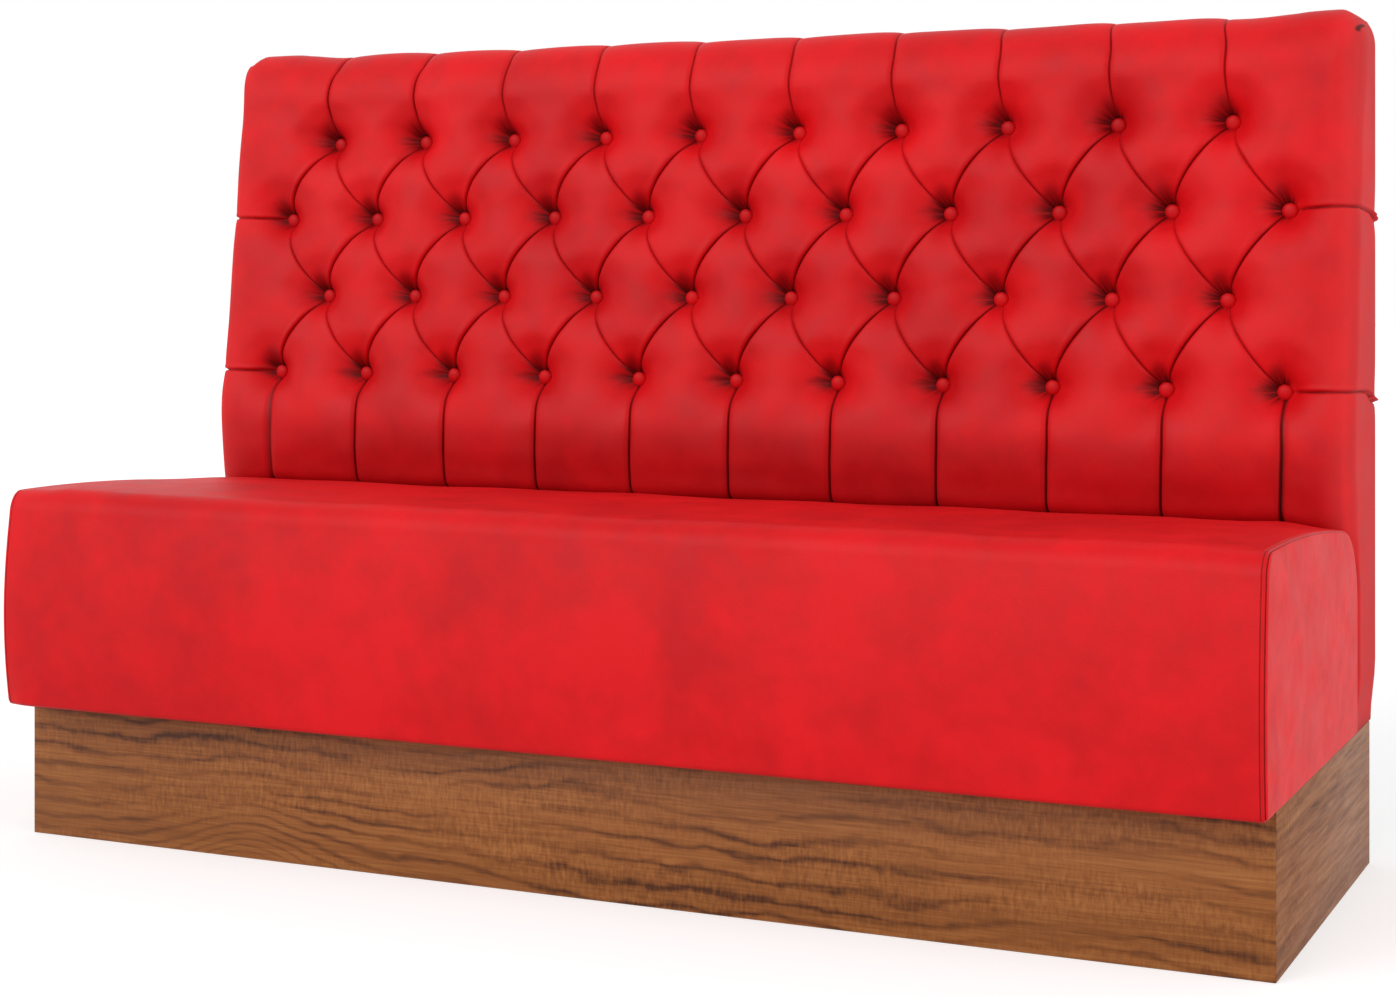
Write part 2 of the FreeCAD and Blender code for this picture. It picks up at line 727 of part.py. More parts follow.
def back_outline(level):
    """Level section of the upholstered back, from its left cheek along the front and round the wall side."""
    height = level["height"]
    half = level["half"]
    crown = level["front"]
    rear = level["rear"]
    mix, depth = level["mix"], level["depth"]
    corner = value("front_corner")
    heel = value("rear_corner")
    places = seam_places(mix, level["gap"])
    end_depth = depth * (1 - mix)
    depths = [end_depth] + [depth] * (len(places) - 2) + [end_depth]
    seams = [Vector(x, crown + sunk, height) for x, sunk in zip(places, depths)]
    points = quarter(-half + corner, crown + corner, corner, 180, height)

    def swell(start, end, rise):
        """Points from start towards end, standing forward as a parabola; end is left to the next cell."""
        for step in range(cell_steps):
            share = step / cell_steps
            forward = Vector(0, 4 * rise * share * (1 - share), 0)
            points.append(start * (1 - share) + end * share - forward)

    end_share = 0.6
    for index, (start, end) in enumerate(zip(seams, seams[1:])):
        is_whole = index % 2 == 0
        fullness = mix if is_whole else 1 - mix
        rise = depth * (1 if 0 < mix < 1 else fullness)
        if index in (0, len(seams) - 2):
            rise *= end_share * mix
        swell(start, end, rise)
    points.append(seams[-1])
    points += quarter(half - corner, crown + corner, corner, 270, height)
    points += quarter(half - heel, rear - heel, heel, 0, height)
    points += quarter(-half + heel, rear - heel, heel, 90, height)
    return points


def folded_loft(outlines):
    """Solid through level outlines of equally many points. Each patch is folded along the
    diagonal that stands further out, so every face is flat."""
    faces = []
    for lower, upper in zip(outlines, outlines[1:]):
        count = len(lower)
        for here in range(count):
            after = (here + 1) % count
            a, b, c, d = lower[here], lower[after], upper[after], upper[here]
            middle = (a + b + c + d) * 0.25
            outward = (b - a).cross(d - a) + (d - c).cross(b - c)
            if ((a + c) * 0.5 - middle).dot(outward) >= 0:
                triangles = [(a, b, c), (a, c, d)]
            else:
                triangles = [(a, b, d), (b, c, d)]
            for corners in triangles:
                first, second, third = corners
                if (second - first).cross(third - first).Length > 0:
                    faces.append(Part.Face(Part.makePolygon([first, second, third, first])))
    for outline in (outlines[0], outlines[-1]):
        faces.append(Part.Face(Part.makePolygon(outline + outline[:1])))
    shell = Part.makeCompound(faces)
    shell.sewShape()
    return Part.makeSolid(Part.makeShell(shell.Faces))


def back_levels():
    half = value("bench_half")
    rear = value("frame_rear")
    base = value("plinth_height")
    top = value("bench_height")
    pleat_half = value("pleat_width") / 2
    pleat = value("pleat_depth")
    lower = value("lower_front")
    shin_share = 0.8
    levels = []

    def add(height, front, mix=0, gap=pleat_half, depth=0, half_width=half, back=rear):
        levels.append({"height": height, "front": front, "mix": mix, "gap": gap,
                       "depth": depth, "half": half_width, "rear": back})

    # Plain lower part behind the seat, drawn in at its hem
    for climb_share, draw_share in ((0, 1), (0.17, 0.5), (1, 0)):
        width = half - value("hem_draw") * draw_share
        add(base + value("hem_draw_height") * climb_share, lower, half_width=width)
    add(value("lip_height"), lower)
    # Channels
    add(value("foot_height"), value("foot_front"), depth=value("foot_depth"))
    add(value("shin_height"), value("shin_front"), depth=pleat * shin_share)
    add(value("belly_height"), value("belly_front"), depth=pleat)
    # Button rows, with the diamonds crossing over between them
    climb = value("row_pitch") * math.cos(rake)
    seat_half = value("button_seat_width") / 2
    first = row_four.z

    def seat_front(height):
        return row_four.y + (height - first) * math.tan(rake)

    rows = 4
    for row in range(rows):
        mix = row % 2
        for height in (first + row * climb - seat_half, first + row * climb + seat_half):
            share = (height - first) / (climb * (rows - 1))
            rise = value("tuft_rise_low") * (1 - share) + value("tuft_rise_high") * share
            width = half if mix else half - value("side_draw")
            add(height, seat_front(height) - rise, mix, seat_half, rise, width)
        if row < rows - 1:
            height = first + (row + 0.5) * climb
            share = (row + 0.5) / (rows - 1)
            rise = value("tuft_rise_low") * (1 - share) + value("tuft_rise_high") * share
            add(height, seat_front(height) - rise, 0.5, 0, pleat)
    # Rolled top, with the upper pleats running over it
    shoulder = value("shoulder_height")
    shoulder_front = value("shoulder_front")
    top_front = value("top_front")
    end_drop = value("top_end_drop")
    end_inset = value("top_end_inset")
    fade_share = 0.3
    for turn_share in (0, 0.33, 0.61, 0.83, 1):
        turn = turn_share * math.pi / 2
        height = shoulder + (top - shoulder) * math.sin(turn)
        front = shoulder_front + (top_front - shoulder_front) * (1 - math.cos(turn))
        fall = max(0, height - (top - end_drop)) / end_drop
        width = half - end_inset * (1 - math.sqrt(1 - fall ** 2))
        back = rear - value("rear_corner") * (1 - math.cos(turn)) ** 2
        add(height, front, 1, pleat_half, pleat * (1 - fade_share * turn_share), width, back)
    return levels


def tufted_cover():
    form = folded_loft([back_outline(level) for level in back_levels()])
    half = value("back_half + soft_gap")
    over = value("cut_overrun")
    foot_front = raked(-value("pad_foot_drop"), value("pad_base"))
    foot_rear = raked(-value("pad_foot_drop"), value("board_rear"))
    top = value("top_rail_top")
    head_y = foot_front.y + (top - foot_front.z) * math.tan(rake)
    rear = value("rear_face") + over
    front = value("front_face")
    base = value("plinth_height") - over
    lip = value("lip_height")
    hollow_outline = [
        (foot_front.y, foot_front.z), (head_y, top), (rear, top), (rear, base),
        (front, base), (front, lip), (foot_rear.y - value("soft_gap"), lip),
        (foot_rear.y - value("soft_gap"), foot_rear.z),
    ]
    corners = [Vector(-half, y, z) for y, z in hollow_outline]
    hollow = Part.Face(Part.makePolygon(corners + corners[:1])).extrude(Vector(2 * half, 0, 0))
    width = value("tie_width + soft_gap")
    holes = []
    for x, v in button_spots():
        hole = Part.makeBox(width, 2 * over, width, Vector(x - width / 2, -over, v - width / 2))
        hole.Placement = slope_placement
        holes.append(hole)
    shape = form.cut(Part.makeCompound([hollow] + holes))
    shaped("back_tufted_cover", shape)


# Fixings

def fixings():
    """Bolts from back to seat, and screwed plates from seat to plinth."""
    height = value("bolt_height")
    radius = value("bolt_radius")
    washer = value("washer_thickness")
    panel_rear = value("lower_panel_rear")
    rail_front = value("seat_frame_rear - panel_thickness")
    nut = value("nut_thickness")

    def at(y):
        return [Placement(Vector(x, y, height), Rotation()) for x in bolt_places()]

    shank_start = rail_front - nut - value("bolt_tail")
    shank = prism(screw_sides, radius, panel_rear + washer - shank_start)
    head = prism(screw_sides, value("bolt_head_radius"), value("bolt_head_height"))
    head.translate(Vector(0, 0, panel_rear + washer - shank_start))
    grouped("back_bolts", laid_back(shank.fuse(head)), at(shank_start))
    ring = laid_back(tube(button_sides, value("washer_radius"), radius, washer))
    grouped("back_bolt_washers", ring, at(panel_rear))
    hexagon = laid_back(tube(screw_sides, value("nut_radius"), radius, nut))
    grouped("back_bolt_nuts", hexagon, at(rail_front - nut))
    # A steel plate ties each seat cross rail to the plinth bearer below it, front and rear
    thick = value("plate_thickness")
    width = value("plate_width")
    tall = value("plate_height")
    low = value("plinth_height") - tall / 2
    face = value("bearer_offset - panel_thickness / 2")
    reach = value("plate_offset")
    screw_heights = (tall / 2 - value("screw_step"), tall / 2 + value("screw_step"))
    flat_turn = 180 / screw_sides
    quarter_turn = Rotation(Vector(0, 1, 0), 90).multiply(Rotation(Vector(0, 0, 1), flat_turn))
    plate = Part.makeBox(thick, width, tall, Vector(-thick, -width / 2, 0))
    for z in screw_heights:
        bore = prism(screw_sides, value("screw_radius"), thick)
        bore.Placement = Placement(Vector(-thick, 0, z), quarter_turn)
        plate = plate.cut(bore)
    shaft = prism(screw_sides, value("screw_radius"), thick + value("screw_length"))
    cap = prism(bore_sides, value("screw_head_radius"), value("screw_head_height"))
    cap.translate(Vector(0, 0, -value("screw_head_height")))
    screw = shaft.fuse(cap)
    screw.Placement = Placement(Vector(-thick, 0, 0), quarter_turn)
    plate_places = []
    for side, turn in ((1, Rotation()), (-1, Rotation(Vector(0, 0, 1), 180))):
        for y in (-reach, reach):
            plate_places.append(Placement(Vector(side * face, y, low), turn))
    screw_places = [spot.multiply(Placement(Vector(0, 0, z), Rotation()))
                    for spot in plate_places for z in screw_heights]
    grouped("seat_fixing_plates", plate, plate_places)
    grouped("fixing_plate_screws", screw, screw_places)


plinth()
seat_frame()
seat_cushion()
back_frame()
raked_plate("back_foam_slab", "pad_base", "slab_thickness", "slab_slot_radius", 4)
raked_plate("back_button_board", "board_front", "board_thickness", "tie_hole_radius", screw_sides)
button_sets()
tufted_cover()
fixings()
doc.recompute()

for item in doc.Objects:
    if "Invalid" in item.State or "Error" in item.State:
        raise RuntimeError(item.Name + " did not build")
for piece in parts:
    if piece.Shape.isNull() or not piece.Shape.isValid():
        raise RuntimeError(piece.Label + " has no valid shape")

os.makedirs("parts", exist_ok=True)
for piece in parts:
    piece.Shape.exportStep("parts/" + piece.Label + ".step")
print(len(parts), "nodes written")
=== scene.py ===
import json
import math
import bpy
import numpy as np
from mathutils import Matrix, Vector


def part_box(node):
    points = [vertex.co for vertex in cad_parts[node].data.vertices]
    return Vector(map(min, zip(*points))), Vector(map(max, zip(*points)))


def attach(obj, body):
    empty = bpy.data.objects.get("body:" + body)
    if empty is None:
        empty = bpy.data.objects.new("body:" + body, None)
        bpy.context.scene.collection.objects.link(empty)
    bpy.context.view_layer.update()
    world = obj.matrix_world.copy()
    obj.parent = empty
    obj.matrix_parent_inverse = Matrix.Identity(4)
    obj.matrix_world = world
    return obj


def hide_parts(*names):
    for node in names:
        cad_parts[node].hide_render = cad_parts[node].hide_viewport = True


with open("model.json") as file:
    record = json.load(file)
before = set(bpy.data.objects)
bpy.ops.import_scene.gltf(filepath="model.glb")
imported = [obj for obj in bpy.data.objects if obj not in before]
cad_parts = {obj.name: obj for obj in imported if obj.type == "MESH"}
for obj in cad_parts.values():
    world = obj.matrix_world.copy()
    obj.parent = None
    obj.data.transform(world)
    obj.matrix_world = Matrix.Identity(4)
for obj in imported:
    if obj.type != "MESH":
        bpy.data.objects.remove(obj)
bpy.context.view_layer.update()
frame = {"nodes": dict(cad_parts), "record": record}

# Button-back banquette bench. Shapes are worked out in millimetres and stored in metres.
print("Frame loaded with", len(frame["nodes"]), "nodes")

millimetre = 0.001

bench = {
    "half": 845.0,
    "base": 184.0,
    "top": 1100.0,
    "front": -337.5,
    "rear": 336.5,
    "buttonPitch": 151.4,
    "rowHeights": [612.0, 726.93, 841.87, 956.8],
    "seatPlane": 200.5,
    "rake": math.radians(7.76),
    "endColumn": 11,
}
halfPitch = bench["buttonPitch"] / 2


def smoothStep(share):
    share = np.clip(share, 0, 1)
    return share * share * (3 - 2 * share)


def throughPoints(points, stepsPerSpan=12):  # Catmull-Rom polyline
    points = np.array(points, float)
    padded = np.vstack([2 * points[0] - points[1], points, 2 * points[-1] - points[-2]])
    line = []
    for a, b, c, d in zip(padded, padded[1:], padded[2:], padded[3:]):
        for t in np.arange(stepsPerSpan) / stepsPerSpan:
            line.append(0.5 * (2 * b + (c - a) * t + (2 * a - 5 * b + 4 * c - d) * t ** 2
                               + (3 * b - a - 3 * c + d) * t ** 3))
    line.append(points[-1])
    return np.array(line)


def addObject(name, data):
    piece = bpy.data.objects.new(name, data)
    bpy.context.scene.collection.objects.link(piece)
    return piece


def addMesh(name, points, faces, smooth=True):
    mesh = bpy.data.meshes.new(name)
    mesh.from_pydata((np.asarray(points) * millimetre).tolist(), [], faces)
    mesh.validate()
    if smooth:
        mesh.shade_smooth()
    return addObject(name, mesh)


def bakeModifiers(piece):  # the mesh that the modifiers make takes the place of the plain one
    evaluated = piece.evaluated_get(bpy.context.evaluated_depsgraph_get())
    mesh = bpy.data.meshes.new_from_object(evaluated)
    piece.modifiers.clear()
    piece.data = mesh


def gridFaces(ids):
    return np.stack([ids[:-1, :-1], ids[:-1, 1:], ids[1:, 1:], ids[1:, :-1]], -1).reshape(-1, 4).tolist()


def flatFaces(piece, *indices):  # hidden closing faces don't bend the shading beside them
    for index in indices:
        piece.data.polygons[index].use_smooth = False


def pointNormals(piece):
    normals = np.zeros(len(piece.data.vertices) * 3)
    piece.data.vertex_normals.foreach_get("vector", normals)
    return normals.reshape(-1, 3)


def setPoints(piece, points):
    piece.data.vertices.foreach_set("co", (np.asarray(points) * millimetre).ravel())
    piece.data.update()


def addField(piece, name, values):  # a number or a vector for each point
    values = np.asarray(values, float)
    kind, field = ("FLOAT", "value") if values.ndim == 1 else ("FLOAT_VECTOR", "vector")
    piece.data.attributes.new(name, kind, "POINT").data.foreach_set(field, values.ravel())


def finishPiece(piece, material, slot, *nodes):
    piece.data.materials.clear()
    piece.data.materials.append(material)
    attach(piece, "root")
    if nodes:
        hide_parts(*nodes)
    return piece


# Materials

def addNode(tree, kind, settings=None, inputs=None):
    node = tree.nodes.new(kind)
    for key, value in (settings or {}).items():
        setattr(node, key, value)
    for key, value in (inputs or {}).items():
        if isinstance(value, bpy.types.NodeSocket):
            tree.links.new(value, node.inputs[key])
        else:
            node.inputs[key].default_value = value
    return node


def startMaterial(name):
    material = bpy.data.materials.new(name)
    material.use_nodes = True
    material.node_tree.nodes.clear()
    return material, material.node_tree


def closeMaterial(tree, shader):
    addNode(tree, "ShaderNodeOutputMaterial", None, {"Surface": shader.outputs[0]})


def objectPlace(tree):
    return addNode(tree, "ShaderNodeTexCoord").outputs["Object"]


def stretched(tree, scale):
    return addNode(tree, "ShaderNodeMapping", None, {"Vector": objectPlace(tree), "Scale": scale}).outputs[0]


def attribute(tree, name, output="Fac"):
    return addNode(tree, "ShaderNodeAttribute", {"attribute_name": name}).outputs[output]


def separated(tree, vector):
    return addNode(tree, "ShaderNodeSeparateXYZ", None, {0: vector}).outputs


def combined(tree, *parts):
    return addNode(tree, "ShaderNodeCombineXYZ", None, dict(enumerate(parts))).outputs[0]


def noise(tree, vector, scale, detail=3.0, roughness=0.55, distortion=0.0):
    return addNode(tree, "ShaderNodeTexNoise", None,
                   {"Vector": vector, "Scale": scale, "Detail": detail, "Roughness": roughness,
                    "Distortion": distortion}).outputs[0]


def ranged(tree, value, low, high, newLow, newHigh):
    return addNode(tree, "ShaderNodeMapRange", None, {"Value": value, "From Min": low, "From Max": high,
                                                      "To Min": newLow, "To Max": newHigh}).outputs[0]


def sums(tree, operation, *values):
    return addNode(tree, "ShaderNodeMath", {"operation": operation}, dict(enumerate(values))).outputs[0]


def plus(tree, first, second):
    return sums(tree, "ADD", first, second)


def minus(tree, first, second):
    return sums(tree, "SUBTRACT", first, second)


def times(tree, first, second):
    return sums(tree, "MULTIPLY", first, second)


def mixColour(tree, factor, first, second):
    return addNode(tree, "ShaderNodeMix", {"data_type": "RGBA"}, {0: factor, 6: first, 7: second}).outputs[2]


def bumped(tree, strength, distance, height):
    return addNode(tree, "ShaderNodeBump", None,
                   {"Strength": strength, "Distance": distance, "Height": height}).outputs[0]


def colour(red, green, blue):
    return (red, green, blue, 1.0)


leather = {
    "deep": colour(0.53, 0.0030, 0.0060),
    "bright": colour(0.70, 0.0045, 0.0080),
    # colour of the painted shade in folds, creases and dimples
    "paintedShade": colour(0.075, 0.0003, 0.0010),
    # share of the painted shade along the wrinkles round the buttons
    "rayShade": 0.93,
    "cloudScale": 5.0,
    "cloudShare": 0.6,
    "mottleScale": 21.0,
    "spread": (0.38, 0.60),
    "patchScale": 15.0,
    "patchShare": 0.75,
    "patchSpread": (0.35, 0.65),
    "rayCount": 5.2,
    "rayCell": (0.15, 1.0, 0.11),  # each button lies in a cell of its own
    "rays": (0.36, 0.64, 0.55, 1.45),
    "rayDepth": 2.0,
    "grainScale": 620.0,
    "poreScale": 1500.0,
    "poreShare": 0.6,
    "bump": 0.16,
    "bumpHeight": 0.0006,
    # painted highlight on the ends of the back, which are also rougher
    "endHighlight": 0.17,
    "endHighlightColour": colour(0.98, 0.100, 0.100),
    "endRough": 0.17,
    "rough": (0.46, 0.56),
    "shine": 0.18,
    "tuckShade": 0.95,
}

tuck = {"y": 0.276, "z": 1.0695, "deep": 0.034, "tall": 0.0085, "width": 0.28, "side": 0.826, "fade": 0.006}


def tuckCreaseShade(tree):  # painted shade of a tuck crease: quarter of an ellipse on the side of the back, high at the front
    parts = separated(tree, objectPlace(tree))
    along = sums(tree, "DIVIDE", minus(tree, parts[1], tuck["y"]), tuck["deep"])
    up = sums(tree, "DIVIDE", minus(tree, parts[2], tuck["z"]), tuck["tall"])
    flat = combined(tree, along, up)
    length = addNode(tree, "ShaderNodeVectorMath", {"operation": "LENGTH"}, {0: flat}).outputs["Value"]
    off = sums(tree, "ABSOLUTE", minus(tree, length, 1.0))
    line = ranged(tree, off, tuck["width"], tuck["width"] * 0.4, 0.0, 1.0)
    line = times(tree, line, ranged(tree, up, -0.3, 0.1, 0.0, 1.0))
    line = times(tree, line, ranged(tree, along, 0.1, 0.0, 0.0, 1.0))
    wide = sums(tree, "ABSOLUTE", parts[0])
    return times(tree, line, ranged(tree, wide, tuck["side"], tuck["side"] + tuck["fade"], 0.0, 1.0))


def buttonRays(tree, values):  # short wrinkles that run out from each button: a bump, and painted shade along them
    aside, above, window = separated(tree, attribute(tree, "around", "Vector"))
    flat = combined(tree, aside, above)
    way = addNode(tree, "ShaderNodeVectorMath", {"operation": "NORMALIZE"}, {0: flat}).outputs[0]
    cell = addNode(tree, "ShaderNodeVectorMath", {"operation": "SNAP"},
                   {0: objectPlace(tree), 1: values["rayCell"]}).outputs[0]
    spot = addNode(tree, "ShaderNodeVectorMath", {"operation": "MULTIPLY_ADD"},
                   {0: way, 1: (values["rayCount"],) * 3, 2: cell}).outputs[0]
    rays = ranged(tree, noise(tree, spot, 1.0, 4.0, 0.65), *values["rays"])
    return times(tree, rays, window)


def leathercloth(name, values, streaks=False, shade=1.0, withPaintedShading=False, shine=None):
    material, tree = startMaterial(name)
    plain = stretched(tree, (1, 1, 1))
    cloud = noise(tree, plain, values["cloudScale"], 3.0, 0.6, 0.4)
    mottle = noise(tree, plain, values["mottleScale"], 5.0, 0.62)
    blend = plus(tree, times(tree, cloud, values["cloudShare"]), times(tree, mottle, 1 - values["cloudShare"]))
    spread = values["spread"]
    if streaks:
        patches = noise(tree, plain, values["patchScale"], 6.0, 0.68, 0.8)
        share = values["patchShare"]
        blend = plus(tree, times(tree, blend, 1 - share), times(tree, patches, share))
        spread = values["patchSpread"]
    factor = ranged(tree, blend, *spread, 0.0, 1.0)
    # shade scales both colours, for lighter and darker copies of this cloth: painted light and shade
    dark, light = (colour(*[part * shade for part in values[key][:3]]) for key in ("deep", "bright"))
    tone = mixColour(tree, factor, dark, light)
    cells = addNode(tree, "ShaderNodeTexVoronoi", {"feature": "SMOOTH_F1"},
                    {"Vector": plain, "Scale": values["grainScale"], "Smoothness": 0.6}).outputs[0]
    pores = noise(tree, plain, values["poreScale"], 2.0)
    height = plus(tree, cells, times(tree, pores, values["poreShare"]))
    rough = ranged(tree, mottle, 0.3, 0.7, *values["rough"])
    if withPaintedShading:  # painted shade in the folds, round the buttons and low on the back, and a painted highlight on the rougher ends of the back
        reach = buttonRays(tree, values)
        rayShade = addNode(tree, "ShaderNodeMapRange", {"interpolation_type": "SMOOTHSTEP"},
                         {"Value": reach, "From Min": 0.10, "From Max": 1.0}).outputs[0]
        # matte is the share of the painted highlight and of the extra roughness at the back's ends
        matte = attribute(tree, "matte")
        tone = mixColour(tree, times(tree, rayShade, values["rayShade"]), tone, values["paintedShade"])
        tone = mixColour(tree, attribute(tree, "paintedShade"), tone, values["paintedShade"])
        tone = mixColour(tree, times(tree, matte, values["endHighlight"]), tone, values["endHighlightColour"])
        tone = mixColour(tree, times(tree, tuckCreaseShade(tree), values["tuckShade"]), tone, values["paintedShade"])
        height = minus(tree, height, times(tree, reach, values["rayDepth"]))
        rough = plus(tree, rough, times(tree, matte, values["endRough"]))
    bump = bumped(tree, values["bump"], values["bumpHeight"], height)
    shader = addNode(tree, "ShaderNodeBsdfPrincipled", None,
                     {"Base Color": tone, "Roughness": rough, "Normal": bump, "IOR": 1.5,
                      "Specular IOR Level": shine or values["shine"]})
    closeMaterial(tree, shader)
    return material


walnut = {
    "dark": colour(0.070, 0.020, 0.006),
    "middle": colour(0.245, 0.080, 0.020),
    "light": colour(0.420, 0.165, 0.048),
    "heart": -0.49,
    "heartHeight": 0.13,
    "heartFade": 0.055,
    "heartWidth": 0.085,
    "ringPitch": 0.023,
    "ringSharpness": 3.2,
    "ringShare": 0.27,
    "wander": 0.085,
    "ragged": 0.0025,
    "bandShare": 0.42,
    "spread": (0.16, 0.72),
}
longBoard = {"along": 0, "heart": True, "figure": 1.0, "shine": 0.2, "dash": 11.0, "fine": 330.0, "contrast": 0.52}
endBoard = {"along": 1, "heart": False, "figure": 0.5, "shine": 0.08, "dash": 9.0, "fine": 170.0, "contrast": 0.8}


def walnutBoard(name, values, board):  # the grain runs along X on the long board and along Y on the end boards
    material, tree = startMaterial(name)
    along, contrast = board["along"], board["contrast"]
    parts = separated(tree, objectPlace(tree))
    run, rise = parts[along], parts[2]
    flat = combined(tree, run, times(tree, parts[1 - along], 0.3), rise)

    def scaled(x, z, shift=0.0):
        return addNode(tree, "ShaderNodeMapping", None,
                       {"Vector": flat, "Scale": (x, x, z), "Location": (shift, 0, shift)}).outputs[0]

    # Height of the growth rings: level lines lifted over the heart of the figure
    lift = rise
    if board["heart"]:
        off = sums(tree, "DIVIDE", minus(tree, run, values["heart"]), values["heartWidth"])
        square = times(tree, off, off)
        fade = sums(tree, "POWER", math.e, sums(tree, "DIVIDE", rise, -values["heartFade"]))
        hump = sums(tree, "DIVIDE", times(tree, fade, values["heartHeight"]), plus(tree, square, 1.0))
        lift = minus(tree, rise, hump)
    wander = noise(tree, scaled(3.6, 9.0), 1.0, 4.0, 0.6)
    ragged = noise(tree, scaled(26.0, 60.0, 3.0), 1.0, 3.0, 0.6)
    lift = plus(tree, lift, times(tree, wander, values["wander"]))
    lift = plus(tree, lift, times(tree, ragged, values["ragged"]))
    turn = times(tree, lift, 2 * math.pi / values["ringPitch"])
    wave = sums(tree, "SINE", turn)
    rings = sums(tree, "POWER", ranged(tree, wave, -1.0, 1.0, 0.0, 1.0), values["ringSharpness"])
    patch = noise(tree, scaled(2.4, 14.0, 5.0), 1.0, 4.0, 0.6)
    rings = times(tree, rings, ranged(tree, patch, 0.38, 0.60, 0.15, 1.0))
    fibre = noise(tree, scaled(board["dash"], board["fine"], 1.0), 1.0, 5.0, 0.7)
    band = noise(tree, scaled(1.1, 24.0, 2.0), 1.0, 4.0, 0.6)
    ripple = noise(tree, scaled(210.0, 60.0, 4.0), 1.0, 3.0, 0.6)
    rippled = ranged(tree, noise(tree, scaled(3.0, 12.0, 7.0), 1.0, 1.0), 0.44, 0.62, 0.06, 0.55)
    blend = minus(tree, 0.705 + contrast / 2, times(tree, rings, values["ringShare"] * board["figure"]))
    blend = minus(tree, blend, times(tree, fibre, contrast))
    blend = minus(tree, blend, times(tree, band, values["bandShare"]))
    blend = plus(tree, blend, times(tree, minus(tree, ripple, 0.5), rippled))
    ramp = addNode(tree, "ShaderNodeValToRGB", None, {0: ranged(tree, blend, *values["spread"], 0.0, 1.0)})
    ramp.color_ramp.elements[0].color = values["dark"]
    ramp.color_ramp.elements[1].color = values["light"]
    ramp.color_ramp.elements.new(0.5).color = values["middle"]
    bump = bumped(tree, 0.10, 0.0003, fibre)
    shader = addNode(tree, "ShaderNodeBsdfPrincipled", None,
                     {"Base Color": ramp.outputs[0], "Roughness": ranged(tree, fibre, 0.3, 0.7, 0.38, 0.5),
                      "Normal": bump, "IOR": 1.5, "Specular IOR Level": board["shine"]})
    closeMaterial(tree, shader)
    return material


def grained(name, dark, light, scales, roughness, metallic=0.0):
    material, tree = startMaterial(name)
    streaks = noise(tree, stretched(tree, scales), 1.0, 4.0, 0.6)
    fine = noise(tree, stretched(tree, (1, 1, 1)), 420.0, 2.0)
    tone = mixColour(tree, ranged(tree, streaks, 0.3, 0.7, 0.0, 1.0), dark, light)
    bump = bumped(tree, 0.2, 0.0003, fine)
    rough = ranged(tree, streaks, 0.3, 0.7, roughness - 0.06, roughness + 0.06)
    shader = addNode(tree, "ShaderNodeBsdfPrincipled", None,
                     {"Base Color": tone, "Roughness": rough, "Normal": bump, "Metallic": metallic})
    closeMaterial(tree, shader)
    return material


redCloth = leathercloth("redLeathercloth", leather, withPaintedShading=True)
# the seat's end caps: a lighter copy of the cloth, painted light from the side
litEndCloth = leathercloth("redEndLeatherclothLit", leather, streaks=True, shade=1.24, withPaintedShading=True, shine=0.15)
# the buttons: a darker copy of the cloth, painted shade
shadedButtonCloth = leathercloth("buttonLeatherclothShaded", leather, shade=0.86)
walnutFront = walnutBoard("walnutAlong", walnut, longBoard)
walnutEnd = walnutBoard("walnutAcross", walnut, endBoard)
plywood = grained("bareplywood", colour(0.50, 0.34, 0.19), colour(0.68, 0.50, 0.31), (2.5, 30, 30), 0.7)
blackCloth = grained("dustCloth", colour(0.012, 0.012, 0.013), colour(0.03, 0.03, 0.032), (60, 60, 60), 0.9)
zinc = grained("zincPlate", colour(0.55, 0.55, 0.57), colour(0.72, 0.72, 0.74), (90, 20, 20), 0.34, 1.0)
nylon = grained("nylonGlide", colour(0.02, 0.02, 0.02), colour(0.045, 0.045, 0.045), (40, 40, 40), 0.5)
togglePlastic = grained("togglePlastic", colour(0.6, 0.6, 0.57), colour(0.72, 0.72, 0.69), (40, 40, 40), 0.45)
twine = grained("waxedTwine", colour(0.42, 0.36, 0.26), colour(0.6, 0.54, 0.42), (200, 900, 900), 0.75)
thread = grained("stitchThread", colour(0.10, 0.004, 0.006), colour(0.19, 0.008, 0.010), (300, 300, 300), 0.6)
print("Materials made")


# Copies of a small piece at points, each turned as its point says

